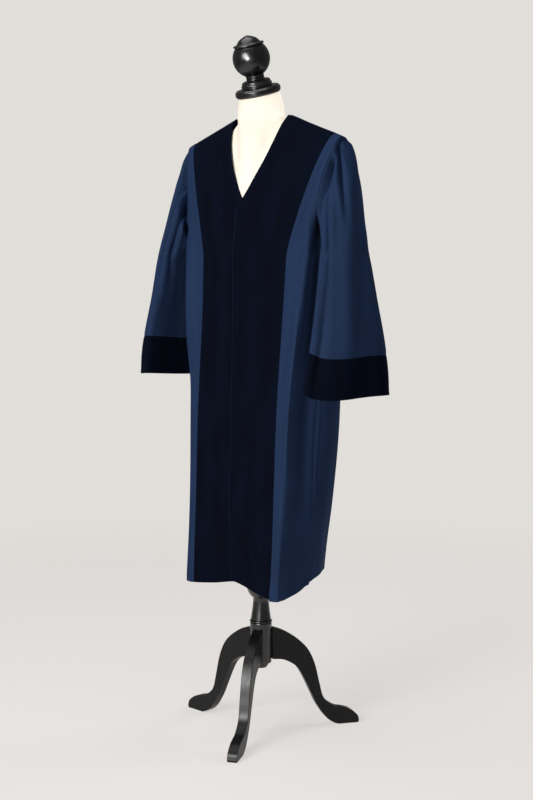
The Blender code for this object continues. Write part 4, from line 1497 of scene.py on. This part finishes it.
@dataclass
class Sleeves:
    """The wide sleeves, pleated into the armholes, and their velvet cuffs."""

    drape: Drape
    finishes: Finishes
    wall: float = 0.0020
    armhole_gap: float = 0.0010
    turn: float = math.radians(17.7)
    join_z: float = 1.120
    leave_out: float = 0.66
    leave_down: float = 0.80
    leave_reach: float = 0.26
    join_reach: float = 0.34
    join_step: float = 0.02
    leave_forward: float = 0.5
    row_crowding: float = 1.2
    outside_drop: float = 0.14
    underarm_lift: float = 0.45
    cuff_height: float = 0.092
    seam_gap: float = 0.0003
    pleat_onset: float = 0.05
    pleat_steepness: float = 0.62
    pleat_drift: float = 1.25
    tuck_depth: float = 0.0340
    tuck_share: float = 0.110
    tuck_reach: float = 0.068
    tuck_back: float = 0.22
    tuck_steepness: float = 1.8
    tuck_from_deg: float = 8.0
    tuck_grow_deg: float = 22.0
    tuck_to_deg: float = 158.0
    tuck_fade_deg: float = 50.0
    seam_calm: float = 0.010
    pleat_lip: float = 0.30
    pleat_lip_at: float = 1.9
    droop_deg: float = 40.0
    droop_width_deg: float = 55.0
    girth: float = 0.48
    wave_run: float = 0.5
    wave_from: float = 0.25
    right_shift: float = 5.0
    seam_dip: float = 0.0008
    seam_width: float = 0.003
    run: float = 0.45
    upper_part: float = 0.75
    columns: int = 320
    upper_rows: int = 72
    lower_rows: int = 26
    cuff_rows: int = 13
    cuff_even: float = 0.86
    cuff_lift: float = 0.0007
    cuff_swell: float = 0.0012
    cuff_calm: float = 0.35
    cuff_roll: float = 0.0007
    roll_width: float = 0.004
    cuff_edge: tuple[float, ...] = (0.90, 0.945, 0.97, 0.985, 0.994, 1.0)
    wave: Ripple = Ripple(37, (0.050, 0.120), (0.30, 0.80), 0.00090)

    def angles(self) -> np.ndarray:
        """Return the columns' angles: 0 outside, a quarter turn at the front."""
        return 2.0 * math.pi * np.arange(self.columns) / self.columns

    def armhole(self, side: Side) -> tuple[np.ndarray, np.ndarray]:
        """Return the armhole seam's points and shared directions at the columns' angles.

        Args:
            side: half of the wearer.

        Returns:
            Points and directions, one for each column.
        """
        angles = self.angles()
        share = 1.0 - np.sin(0.5 * angles)
        top = np.ones(1)
        front = self.drape.upper(self.drape.armhole_columns(share, True), top, side, True)[0]
        back = self.drape.upper(self.drape.armhole_columns(share, False), top, side, False)[0]
        points = np.where((angles <= math.pi)[:, None], front, back)
        normals = self.drape.armhole_normal(points, side)
        return points + np.array((side.value * self.armhole_gap, 0.0, 0.0)), normals

    def ellipse(self, angle: Numbers, z: Numbers, side: Side) -> np.ndarray:
        """Return points of the hanging sleeve at angles and heights.

        Args:
            angle: angles round the sleeve, 0 outside.
            z: heights.
            side: half of the wearer.

        Returns:
            Points with their axis last.
        """
        knots = [s.z for s in SLEEVE]
        rows = spline(knots, SLEEVE, np.minimum(z, knots[-1]))
        _, centre_x, centre_y, long_half, short_half = np.moveaxis(rows, -1, 0)
        long_part = -long_half * np.sin(angle)
        short_part = short_half * np.cos(angle)
        x = centre_x + long_part * math.sin(self.turn) + short_part * math.cos(self.turn)
        y = centre_y + long_part * math.cos(self.turn) - short_part * math.sin(self.turn)
        return np.stack(np.broadcast_arrays(side.value * x, y, z), -1)

    def seam_z(self, angle: np.ndarray, side: Side) -> np.ndarray:
        """Return the heights of the seam between sleeve and cuff.

        Args:
            angle: angles round the sleeve.
            side: half of the wearer.

        Returns:
            A height for each angle.
        """
        hang = CUFF_HANGS[side]
        level = self.ellipse(angle, np.full_like(angle, hang.top_z), side)
        droop = hang.droop * bell(turn_apart(np.degrees(angle), self.droop_deg), self.droop_width_deg)
        return hang.top_z - hang.fall * (level[:, 1] - SLEEVE[1].centre_y) - droop

    def pleat_depth(self, angle_deg: Numbers, share: Numbers, side: Side) -> np.ndarray:
        """Return how far the pleats draw the sleeve in.

        Args:
            angle_deg: degrees round the sleeve.
            share: 0 at the armhole and 1 at the cuff.
            side: half of the wearer.

        Returns:
            The depth in metres.
        """
        total = np.zeros(np.broadcast(angle_deg, share).shape)
        for pleat in PLEATS[side]:
            run = np.clip((share - pleat.start) / (pleat.end - pleat.start), 0.0, 1.0)
            drift = 1.0 - (1.0 - run) ** self.pleat_drift
            centre = pleat.start_deg + (pleat.end_deg - pleat.start_deg) * drift
            apart = turn_apart(angle_deg, centre)
            if pleat.start > 0.0:
                grow = ease(run / 0.35) * ease((1.0 - run) / 0.12 + 0.3)
            else:
                grow = ease(share / self.pleat_onset) * (1.0 - ease(run)) ** 0.7
            lip = bell(np.abs(apart) - self.pleat_lip_at * pleat.width_deg, pleat.width_deg)
            line = bell(apart, pleat.width_deg) - self.pleat_lip * lip
            total = total + pleat.depth * grow * line
        return total

    def tuck(self, angle_deg: Numbers, share: Numbers) -> np.ndarray:
        """Return the depth of the hollow in which the sleeve leaves its armhole seam.

        Args:
            angle_deg: degrees round the sleeve.
            share: 0 at the armhole and 1 at the cuff.

        Returns:
            The depth in metres.
        """
        turn = turn_apart(angle_deg, 0.0)
        reach = ease((np.abs(turn) - self.tuck_from_deg) / self.tuck_grow_deg)
        reach = reach * ease((self.tuck_to_deg - np.abs(turn)) / self.tuck_fade_deg)
        reach = reach * np.where(turn < 0.0, self.tuck_back, 1.0)
        return self.tuck_depth * reach * bell(share - self.tuck_share, self.tuck_reach)

    def sleeve_grid(self, side: Side) -> np.ndarray:
        """Return the sleeve's middle surface, rows from the armhole down to the cuff.

        Args:
            side: half of the wearer.

        Returns:
            Points by row, column and axis.
        """
        angles = self.angles()
        start, normal = self.armhole(side)
        join = np.full_like(angles, self.join_z)
        end = self.ellipse(angles, join, side)
        below = self.ellipse(angles, join - self.join_step, side)
        reach = np.linalg.norm(end - start, axis=1)[:, None]
        tuck = self.outside_drop * np.maximum(np.cos(angles), 0.0) ** 2
        tuck = tuck - self.underarm_lift * np.maximum(-np.cos(angles), 0.0) ** 2
        out = side.value * (self.leave_out - tuck)
        leave = unit(np.stack((out, self.leave_forward * normal[:, 1], -self.leave_down - tuck), -1))
        first = start + self.leave_reach * reach * leave
        second = end + self.join_reach * reach * unit(end - below)
        t = ((np.arange(self.upper_rows) / self.upper_rows) ** self.row_crowding)[:, None, None]
        s = 1.0 - t
        upper = s**3 * start + 3 * s * s * t * first + 3 * s * t * t * second + t**3 * end
        share = np.linspace(0.0, 1.0, self.lower_rows + 1)[:, None]
        z = self.join_z + (self.seam_z(angles, side) - self.join_z) * share
        return np.concatenate((upper, self.ellipse(angles[None, :], z, side)))

    def tube_map(self, points: np.ndarray) -> np.ndarray:
        """Return metres round and along a tube, with one column more for the last span.

        Args:
            points: grid of the tube.

        Returns:
            The map by row, column and axis.
        """
        closed = np.concatenate((points, points[:, :1]), axis=1)
        middle = closed[len(points) // 2 :][:1]
        # Metres round start at 1 so that the velvet's painted edge highlight, which lies within millimetres
        # of 0, stays off the cuffs
        across = run_length(middle, 1)[0] + 1.0
        return np.stack(np.broadcast_arrays(across[None, :], run_length(closed, 0)), -1)

    def build(self) -> None:
        for side in Side:
            self.build_side(side)

    def row_shares(self) -> np.ndarray:
        """Return the rows' shares of the sleeve's height, 0 at the armhole and 1 at the cuff."""
        upper = self.upper_part * np.arange(self.upper_rows) / self.upper_rows
        return np.concatenate((upper, np.linspace(self.upper_part, 1.0, self.lower_rows + 1)))[:, None]

    def relief(self, points: np.ndarray, side: Side) -> np.ndarray:
        """Return how far waves, pleats, the tuck and the cuff's seam move the sleeve out.

        Args:
            points: grid of the sleeve.
            side: half of the wearer.

        Returns:
            The move in metres.
        """
        angles = self.angles()
        degrees = np.degrees(angles)[None, :]
        share = self.row_shares()
        away = np.linalg.norm(points - points[:1], axis=-1)
        steepest = self.pleat_steepness * (1.0 + 0.6 * np.maximum(np.cos(angles), 0.0)) * away
        pleats = np.clip(self.pleat_depth(degrees, share, side), -steepest, steepest)
        tuck = self.tuck(degrees, share) * ease(away / self.seam_calm)
        depth = np.minimum(pleats + tuck, self.tuck_steepness * away)
        shift = self.right_shift if side is Side.RIGHT else 0.0
        round_metres = angles[None, :] / (2.0 * math.pi) * self.girth
        seamless = np.sin(0.5 * angles[None, :]) ** 0.5
        waves = self.wave.height(round_metres + shift, share * self.wave_run)
        waves = waves * seamless * ease(share / self.wave_from)
        return waves - depth - self.seam_dip * bell((1.0 - share) * self.run, self.seam_width)

    def build_side(self, side: Side) -> None:
        """Build one sleeve with its cuff.

        Args:
            side: half of the wearer.
        """
        plain = self.sleeve_grid(side)
        normals = -side.value * wrapped_normals(plain)
        points = plain + self.relief(plain, side)[..., None] * normals
        normals = -side.value * wrapped_normals(points)
        normals[0] = self.armhole(side)[1]
        half = np.full(points.shape[:2], 0.5 * self.wall)
        name = f"sleeve_{side.label}"
        sleeve = Shell(points, normals, half, self.tube_map(points), True).build(name + "_cloth")
        Bench.dress(sleeve, self.finishes.cloth, Slot.CLOTH, name)
        self.build_cuff(side, points[-1] - plain[-1], normals[-1])
        neighbours = [f"side_front_{side.label}", "back"]

    def build_cuff(self, side: Side, shift: np.ndarray, seam_normals: np.ndarray) -> None:
        """Build one velvet cuff below its sleeve.

        Args:
            side: half of the wearer.
            shift: how far the sleeve's folds have moved its last row.
            seam_normals: directions of the sleeve's last row.
        """
        angles = self.angles()
        even = np.linspace(0.0, self.cuff_even, self.cuff_rows)
        share = np.concatenate((even, self.cuff_edge))[:, None]
        drop = self.seam_gap + (self.cuff_height - self.seam_gap) * share
        points = self.ellipse(angles[None, :], self.seam_z(angles, side) - drop, side)
        normals = -side.value * wrapped_normals(points)
        swell = self.cuff_lift * ease(share / 0.05) + self.cuff_swell * np.sin(math.pi * share)
        shift = shift[None] * (1.0 - self.cuff_calm * share[..., None])
        points = points + shift + swell[..., None] * normals
        normals = -side.value * wrapped_normals(points)
        normals[0] = seam_normals
        half = 0.5 * self.wall
        up = (1.0 - share) * self.cuff_height
        roll = self.cuff_roll * bell(up - self.roll_width, self.roll_width)
        thickness = (half + roll) * rounded(up, 1.5 * half)
        thickness = np.broadcast_to(thickness, points.shape[:2])
        name = f"cuff_{side.label}"
        cuff = Shell(points, normals, thickness, self.tube_map(points), True).build(name + "_velvet")
        Bench.dress(cuff, self.finishes.velvet, Slot.VELVET, name)
        f"sleeve_{side.label}"


# The dress form


class FormRing(NamedTuple):
    """Level ring of the dress form: shoulder part and neck part."""

    z: float
    half_width: float
    front: float
    back: float
    neck_radius: float
    neck_y: float


class NeckRing(NamedTuple):
    """Ring of the form's neck, tilted forward by part of the finial's lean."""

    y: float
    z: float
    radius: float
    lean_share: float


FORM_RINGS = (
    FormRing(0.800, 0.148, 0.070, 0.092, 0.030, 0.000),
    FormRing(0.880, 0.142, 0.068, 0.088, 0.030, 0.000),
    FormRing(0.980, 0.138, 0.067, 0.084, 0.030, 0.000),
    FormRing(1.080, 0.156, 0.073, 0.092, 0.030, 0.000),
    FormRing(1.165, 0.172, 0.0765, 0.104, 0.035, 0.000),
    FormRing(1.230, 0.178, 0.0735, 0.104, 0.040, 0.000),
    FormRing(1.290, 0.182, 0.0640, 0.100, 0.045, -0.012),
    FormRing(1.340, 0.186, 0.0550, 0.092, 0.048, -0.013),
    FormRing(1.385, 0.189, 0.0450, 0.082, 0.050, -0.012),
    FormRing(1.415, 0.189, 0.0365, 0.072, 0.052, -0.010),
    FormRing(1.435, 0.183, 0.0290, 0.060, 0.053, -0.009),
)
NECK_RINGS = (
    NeckRing(-0.0060, 1.4915, 0.0575, 0.25),
    NeckRing(-0.0085, 1.5080, 0.0545, 0.55),
    NeckRing(-0.0120, 1.5260, 0.0515, 0.85),
    NeckRing(-0.0159, 1.5384, 0.0500, 1.00),
)


@dataclass
class DressForm:
    """The limbless form: padded torso, shoulders and neck under ivory jersey."""

    drape: Drape
    finishes: Finishes
    lean: float = math.radians(17.0)
    sides: int = 128
    finer: int = 5
    union_power: float = 14.0
    ridge_drop: float = 0.0034
    ridge_levels: tuple[float, ...] = (1.452, 1.462, 1.472, 1.479)
    ridge_front: float = 0.95
    ridge_back: float = 1.7
    relax_steps: int = 60
    relax_z: float = 1.462
    relax_reach: float = 0.040
    relax_pull: float = 0.9
    ridge_bow: float = 0.13
    ridge_neck: float = 0.0540
    ridge_neck_more: float = 0.0040
    ridge_neck_y: float = -0.0080
    map_row: int = 40

    def level_ring(self, row: FormRing) -> np.ndarray:
        """Return a level ring: the shoulders' oval joined softly to the neck's circle.

        Args:
            row: the ring's sizes.

        Returns:
            The ring's points.
        """
        angle = 2.0 * math.pi * np.arange(self.sides) / self.sides
        across, along = np.cos(angle), np.sin(angle)
        depth = np.where(along > 0, row.back, row.front)
        oval = 1.0 / np.hypot(across / row.half_width, along / depth)
        neck = row.neck_y * along + np.sqrt(row.neck_radius**2 - (row.neck_y * across) ** 2)
        power = self.union_power
        radius = (oval**power + neck**power) ** (1.0 / power)
        return np.stack((radius * across, radius * along, np.full_like(angle, row.z)), -1)

    def ridge_ring(self, z: float) -> np.ndarray:
        """Return the form's ring just under the robe's shoulder ridge at a height.

        Args:
            z: the ring's height.

        Returns:
            The ring's points.
        """
        drape = self.drape
        slope = (drape.neck_z - drape.shoulder_z) / (drape.shoulder_x - drape.neck_x)
        width = drape.neck_x + (drape.neck_z - self.ridge_drop - z) / slope
        below = self.ridge_bow * math.sqrt(drape.neck_z - z)
        share = (z - self.ridge_levels[0]) / (drape.neck_z - self.ridge_levels[0])
        radius = self.ridge_neck + self.ridge_neck_more * share
        front, back = self.ridge_front * below, self.ridge_back * below
        return self.level_ring(FormRing(z, width, front, back, radius, self.ridge_neck_y))

    def neck_ring(self, row: NeckRing) -> np.ndarray:
        """Return a tilted ring of the form's neck.

        Args:
            row: the ring's sizes.

        Returns:
            The ring's points.
        """
        lean = self.lean * row.lean_share
        angle = 2.0 * math.pi * np.arange(self.sides) / self.sides
        depth = row.radius * np.sin(angle)
        across = row.radius * np.cos(angle)
        return np.stack((across, row.y + depth * math.cos(lean), row.z + depth * math.sin(lean)), -1)

    def relax(self, points: np.ndarray) -> np.ndarray:
        """Let the neck run out softly into the shoulders.

        Args:
            points: grid of the form, which is changed.

        Returns:
            The same grid.
        """
        for _ in range(self.relax_steps):
            share = bell(points[..., 2] - self.relax_z, self.relax_reach)[1:-1, :, None]
            round_it = np.roll(points, 1, axis=1) + np.roll(points, -1, axis=1)
            mean = 0.25 * (points[:-2] + points[2:] + round_it[1:-1])
            points[1:-1] += self.relax_pull * share * (mean - points[1:-1])
        return points

    def build(self) -> None:
        rings = [self.level_ring(row) for row in FORM_RINGS]
        rings += [self.ridge_ring(z) for z in self.ridge_levels]
        rings += [self.neck_ring(row) for row in NECK_RINGS]
        rings = np.array(rings)
        fine = np.linspace(0, len(rings) - 1, (len(rings) - 1) * self.finer + 1)
        points = spline(range(len(rings)), rings.reshape(len(rings), -1), fine)
        points = self.relax(points.reshape(len(fine), self.sides, 3))
        rows, columns = points.shape[:2]
        faces = grid_quads(rows, columns, columns)[:, TURNED_ROUND].tolist()
        faces.append(list(range(columns))[::-1])
        faces.append(list(range((rows - 1) * columns, rows * columns)))
        mesh = bpy.data.meshes.new(FORM_PIECE)
        mesh.from_pydata(points.reshape(-1, 3).tolist(), [], faces)
        closed = np.concatenate((points, points[:, :1]), axis=1)
        across = run_length(closed[self.map_row : self.map_row + 1], 1)
        across = np.broadcast_to(across, closed.shape[:2])
        uv = np.stack((across, run_length(closed, 0)), -1).reshape(-1, 2)
        maps = grid_quads(rows, columns, columns + 1)[:, TURNED_ROUND].ravel()
        caps = np.concatenate((points[0, ::-1, :2], points[-1, :, :2]))
        layer = mesh.uv_layers.new(name=CLOTH_UV)
        layer.data.foreach_set("uv", np.concatenate((uv[maps], caps)).ravel())
        piece = bpy.data.objects.new(FORM_PIECE, mesh)
        bpy.context.scene.collection.objects.link(piece)
        Bench.face_out(piece)
        Bench.dress(piece, self.finishes.ivory, Slot.IVORY, "dress_form")


# Turned finial and stand


def arc(centre: float, radius: float, start_deg: float, end_deg: float, steps: int) -> Profile:
    """Return radius and height of points on a ball, from one angle to another."""
    angles = np.radians(np.linspace(start_deg, end_deg, steps + 1))
    return [(radius * math.cos(a), centre + radius * math.sin(a)) for a in angles]


def turned_curve(knots: Sequence[tuple[float, float]], steps: int) -> Profile:
    """Return a smooth profile through points of radius and height."""
    places = np.linspace(0, len(knots) - 1, steps * (len(knots) - 1) + 1)
    return [tuple(map(float, point)) for point in spline(range(len(knots)), knots, places)]


@dataclass
class Finial:
    """The turned finial on the form's neck: plate, stepped collar, ball and cap."""

    finishes: Finishes
    foot: tuple[float, float, float] = (0.0, -0.0160, 1.5387)
    lean: float = math.radians(17.0)
    plate_radius: float = 0.054
    plate_top: float = 0.0175
    collar_top: float = 0.0400
    ball_centre: float = 0.0850
    ball_radius: float = 0.0440
    cap_foot: float = 0.1145
    tip: float = 0.1385
    gap: float = 0.0003
    pin: float = 0.0015
    bevel: float = 0.0009

    def profiles(self) -> dict[str, Profile]:
        """Work out the four pieces' profiles.

        Returns:
            Radius and height of each ring, by the name of the solid.
        """
        plate = [(0.050, 0.0), (self.plate_radius, 0.0040), (self.plate_radius, 0.0125)]
        plate += [(0.049, self.plate_top), (self.pin, self.plate_top)]
        foot = self.plate_top + self.gap
        collar = [(0.0365, foot), (0.0365, 0.0255), (0.0340, 0.0280), (0.0340, 0.0320)]
        collar += [(0.0300, 0.0345), (0.0215, 0.0365), (0.0215, self.collar_top)]
        collar.append((self.pin, self.collar_top))
        neck = 0.0215
        start = -math.degrees(math.acos(neck / self.ball_radius))
        end = math.degrees(math.asin((self.cap_foot - self.gap - self.ball_centre) / self.ball_radius))
        ball = [(neck, self.collar_top + self.gap)]
        ball += arc(self.ball_centre, self.ball_radius, start, end, 26)
        ball.append((self.pin, self.cap_foot - self.gap))
        foot = self.cap_foot
        cap = [(0.0350, foot), (0.0370, foot + 0.0025), (0.0350, foot + 0.0050)]
        cap += [(0.0285, foot + 0.0060)]
        dome = [(0.0265, foot + 0.0090), (0.0200, foot + 0.0160), (0.0090, foot + 0.0215)]
        cap += turned_curve(dome + [(self.pin, self.tip)], 5)
        return {"neck_plate": plate, "finial_collar": collar, "finial_ball": ball, "finial_cap": cap}

    def build(self) -> None:
        """Turn the pieces and set them on the neck with their lean."""
        place = Matrix.Translation(self.foot) @ Matrix.Rotation(self.lean, 4, "X")
        for name, profile in self.profiles().items():
            piece = Bench.turned(name + "_turned", profile)
            Bench.settle(piece, place)
            Bench.ease_edges(piece, self.bevel)
            Bench.dress(piece, self.finishes.lacquer, Slot.LACQUER, name)


class LegStation(NamedTuple):
    """Cut across a leg: reach and height of its upper and its lower edge."""

    top_reach: float
    top_height: float
    low_reach: float
    low_height: float


LEG_STATIONS = (
    LegStation(0.0270, 0.2560, 0.0270, 0.1770),
    LegStation(0.0600, 0.2430, 0.0550, 0.1740),
    LegStation(0.0940, 0.2210, 0.0790, 0.1620),
    LegStation(0.1185, 0.1955, 0.0940, 0.1480),
    LegStation(0.1360, 0.1580, 0.1080, 0.1245),
    LegStation(0.1480, 0.1100, 0.1260, 0.0870),
    LegStation(0.1600, 0.0700, 0.1440, 0.0505),
    LegStation(0.1880, 0.0470, 0.1700, 0.0160),
    LegStation(0.2120, 0.0405, 0.1990, 0.0000),
    LegStation(0.2300, 0.0340, 0.2260, 0.0000),
    LegStation(0.2480, 0.0200, 0.2440, 0.0000),
    LegStation(0.2530, 0.0060, 0.2505, 0.0000),
)


@dataclass
class Stand:
    """The turned post, its ring and hub, and the three curved legs."""

    finishes: Finishes
    form_bottom_z: float = 0.800
    hub_radius: float = 0.0265
    hub_bottom: float = 0.168
    hub_top: float = 0.270
    ring_top: float = 0.276
    gap: float = 0.0003
    pin: float = 0.0015
    bevel: float = 0.0008
    leg_count: int = 3
    leg_first_deg: float = -60.0
    leg_thickness: float = 0.024
    leg_steps: int = 5
    leg_bevel: float = 0.0042
    foot_station: int = 8

    def profiles(self) -> dict[str, Profile]:
        """Work out the turned pieces' profiles.

        Returns:
            Radius and height of each ring, by the name of the solid.
        """
        bottom, top = self.hub_bottom, self.hub_top
        hub = [(0.010, bottom - 0.012), (0.015, bottom - 0.0105), (0.019, bottom - 0.004)]
        hub += [(0.019, bottom), (self.hub_radius, bottom + 0.002), (self.hub_radius, top - 0.001)]
        hub += [(self.hub_radius - 0.001, top), (self.pin, top)]
        foot = top + self.gap
        ring = [(0.0255, foot), (0.0275, foot + 0.0020), (0.0275, foot + 0.0038)]
        ring += [(0.0255, self.ring_top), (self.pin, self.ring_top)]
        post_foot = self.ring_top + self.gap
        taper = turned_curve([(0.0250, post_foot), (0.0215, 0.300), (0.0190, 0.326)], 4)
        vase = turned_curve(
            [
                (0.0200, 0.331), (0.0290, 0.341), (0.0350, 0.356), (0.0370, 0.378),
                (0.0340, 0.405), (0.0270, 0.440), (0.0210, 0.480), (0.0190, 0.530),
            ],
            4,
        )
        plate = self.form_bottom_z
        upper = [(0.0210, 0.545), (0.0210, 0.555), (0.0165, 0.565), (0.0165, plate - 0.0223)]
        upper += [(0.0450, plate - 0.0203), (0.0450, plate - self.gap), (self.pin, plate - self.gap)]
        return {"hub": hub, "collar_ring": ring, "post": taper + vase + upper}

    def stations(self) -> np.ndarray:
        """Lay out the leg's cuts, close enough for a smooth curve.

        Returns:
            Reach and height of the upper and the lower edge, a row for each cut.
        """
        places = np.linspace(0, len(LEG_STATIONS) - 1, self.leg_steps * (len(LEG_STATIONS) - 1) + 1)
        cuts = spline(range(len(LEG_STATIONS)), LEG_STATIONS, places)
        cuts[:, 3] = np.maximum(cuts[:, 3], 0.0)
        cuts[places >= self.foot_station, 3] = 0.0
        return cuts

    def leg(self, name: str) -> bpy.types.Object:
        """Model a leg by extruding a small board's end cut by cut along its curve.

        Args:
            name: name of the new object.

        Returns:
            The leg, reaching along +X.
        """
        cuts = self.stations()
        top, low = cuts[:, :2], cuts[:, 2:]
        centres = 0.5 * (top + low)
        spans = top - low
        depths = np.linalg.norm(spans, axis=1)
        leans = np.arctan2(spans[:, 0], spans[:, 1])
        bpy.ops.object.select_all(action="DESELECT")
        bpy.ops.mesh.primitive_plane_add(size=1.0, rotation=(0.0, 0.5 * math.pi, 0.0))
        leg = bpy.context.object
        leg.name = name
        leg.scale = (depths[0], self.leg_thickness, 1.0)
        leg.location = (centres[0, 0], 0.0, centres[0, 1])
        bpy.ops.object.transform_apply(location=True, rotation=True, scale=True)
        bpy.ops.object.mode_set(mode="EDIT")
        bpy.ops.mesh.select_all(action="SELECT")
        for i in range(1, len(cuts)):
            move = centres[i] - centres[i - 1]
            centre = (centres[i, 0], 0.0, centres[i, 1])
            bpy.ops.mesh.extrude_region_move(
                TRANSFORM_OT_translate={"value": (move[0], 0.0, move[1])}
            )
            bpy.ops.transform.rotate(
                value=-(leans[i] - leans[i - 1]), orient_axis="Y", center_override=centre
            )
            grow = depths[i] / depths[i - 1]
            bpy.ops.transform.resize(value=(grow, 1.0, grow), center_override=centre)
        bpy.ops.object.mode_set(mode="OBJECT")
        return leg

    def build(self) -> None:
        """Build the turned pieces and the legs."""
        for name, profile in self.profiles().items():
            piece = Bench.turned(name + "_turned", profile)
            Bench.ease_edges(piece, self.bevel)
            Bench.dress(piece, self.finishes.lacquer, Slot.LACQUER, name)
        for i in range(self.leg_count):
            name = f"leg_{i + 1}"
            leg = self.leg(name + "_sawn")
            Bench.face_out(leg)
            Bench.soften(leg, self.leg_bevel, segments=4, angle_deg=50.0)
            turn = math.radians(self.leg_first_deg + i * 360.0 / self.leg_count)
            Bench.settle(leg, Matrix.Rotation(turn, 4, "Z"))
            Bench.face_out(leg, smooth_deg=40.0)
            Bench.dress(leg, self.finishes.satin, Slot.LACQUER, name)


# Studio


@dataclass(frozen=True)
class Softbox:
    """Soft light: its place in the camera's view, its size and power, and the one piece it lights."""

    name: str
    towards_camera: float
    to_right: float
    height: float
    size: float
    power: float
    colour: Colour = (1.0, 1.0, 1.0)
    diffuse: bool = True
    gloss: bool = True
    only: str = ""


@dataclass
class Studio:
    """Pale floor, soft lights and the camera at the photograph's viewing angle."""

    azimuth: float = math.radians(45.0)
    distance: float = 3.5
    height: float = 1.1691
    pitch: float = math.radians(5.7718)
    yaw: float = math.radians(0.178)
    roll: float = math.radians(0.30)
    focal_px: float = 1458.8
    photo_height_px: int = 800
    sensor: float = 36.0
    aim_z: float = 0.95
    backdrop: Colour = (0.755, 0.735, 0.705)
    fill_light: float = 0.15
    floor_radius: float = 4.0
    boxes: tuple[Softbox, ...] = (
        Softbox("key_box", 2.8, -2.2, 2.1, 1.9, 126.0, (1.0, 0.99, 0.97)),
        Softbox("glint_box", 3.0, -1.35, 1.20, 0.42, 130.0, diffuse=False),
        Softbox("form_box", 1.2, 2.6, 1.9, 1.6, 62.0, gloss=False, only=FORM_PIECE),
        Softbox("rim_box", -1.2, 2.6, 2.2, 1.4, 34.0, gloss=False),
        Softbox("top_box", 0.2, -0.8, 4.0, 3.0, 48.0),
    )

    def back(self) -> Vector:
        """Return the level direction from the robe to the camera."""
        return Vector((math.sin(self.azimuth), -math.cos(self.azimuth), 0.0))

    def right(self) -> Vector:
        """Return the level direction to the camera's right."""
        return Vector((math.cos(self.azimuth), math.sin(self.azimuth), 0.0))

    def build_camera(self) -> None:
        """Place the camera as the photograph's was."""
        position = self.back() * self.distance + Vector((0.0, 0.0, self.height))
        level = -self.back() * math.cos(self.yaw) + self.right() * math.sin(self.yaw)
        right = level.cross(Vector((0.0, 0.0, 1.0)))
        forward = level * math.cos(self.pitch) - Vector((0.0, 0.0, math.sin(self.pitch)))
        up = right.cross(forward)
        side = right * math.cos(self.roll) + up * math.sin(self.roll)
        top = -right * math.sin(self.roll) + up * math.cos(self.roll)
        data = bpy.data.cameras.new("photo_camera")
        data.sensor_width = self.sensor
        data.lens = self.focal_px * self.sensor / self.photo_height_px
        camera = bpy.data.objects.new("photo_camera", data)
        axes = Matrix((side, top, -forward)).transposed().to_4x4()
        camera.matrix_world = Matrix.Translation(position) @ axes
        bpy.context.scene.collection.objects.link(camera)
        bpy.context.scene.camera = camera

    def build_lights(self) -> None:
        """Hang the softboxes, each aimed at the robe."""
        for box in self.boxes:
            data = bpy.data.lights.new(box.name, "AREA")
            data.shape = "DISK"
            data.size = box.size
            data.energy = box.power
            data.color = box.colour
            lamp = bpy.data.objects.new(box.name, data)
            lamp.visible_diffuse = box.diffuse
            lamp.visible_glossy = box.gloss
            place = self.back() * box.towards_camera + self.right() * box.to_right
            lamp.location = place + Vector((0.0, 0.0, box.height))
            aim = Vector((0.0, 0.0, self.aim_z)) - lamp.location
            lamp.rotation_euler = aim.to_track_quat("-Z", "Y").to_euler()
            bpy.context.scene.collection.objects.link(lamp)
            if box.only:
                lit = bpy.data.collections.new(f"lit_by_{box.name}")
                lit.objects.link(bpy.data.objects[box.only])
                lamp.light_linking.receiver_collection = lit

    def build_surroundings(self) -> None:
        """Show the backdrop's tone to the camera and light the pieces evenly and weakly."""
        world = bpy.data.worlds.new("pale_room")
        world.use_nodes = True
        tree = world.node_tree
        shown = tree.nodes["Background"]
        shown.inputs["Color"].default_value = opaque(self.backdrop)
        lit = tree.nodes.new("ShaderNodeBackground")
        lit.inputs["Color"].default_value = opaque((1.0, 1.0, 1.0))
        lit.inputs["Strength"].default_value = self.fill_light
        rays = tree.nodes.new("ShaderNodeLightPath")
        mix = tree.nodes.new("ShaderNodeMixShader")
        tree.links.new(rays.outputs["Is Camera Ray"], mix.inputs[0])
        tree.links.new(lit.outputs[0], mix.inputs[1])
        tree.links.new(shown.outputs[0], mix.inputs[2])
        tree.links.new(mix.outputs[0], tree.nodes["World Output"].inputs["Surface"])
        bpy.context.scene.world = world

    def build_floor(self) -> None:
        """Lay a round floor whose edge fades into the surroundings."""
        bpy.ops.object.select_all(action="DESELECT")
        bpy.ops.mesh.primitive_circle_add(vertices=96, radius=self.floor_radius, fill_type="NGON")
        floor = bpy.context.object
        floor.name = "studio_floor"
        floor.data.materials.append(StudioPaper().material())

    def build(self) -> None:
        """Build floor, lights and camera."""
        self.build_floor()
        self.build_lights()
        self.build_surroundings()
        self.build_camera()
        bpy.context.scene.view_settings.view_transform = "Standard"


def main() -> None:
    """Build every part of the object and the studio."""
    logging.basicConfig(level=logging.INFO, format="%(name)s %(message)s")
    drape = Drape()
    finishes = Finishes()
    RobeBody(drape, finishes).build()
    Sleeves(drape, finishes).build()
    DressForm(drape, finishes).build()
    Finial(finishes).build()
    Stand(finishes).build()
    Studio().build()
    bpy.context.view_layer.update()


if __name__ == "__main__":
    main()
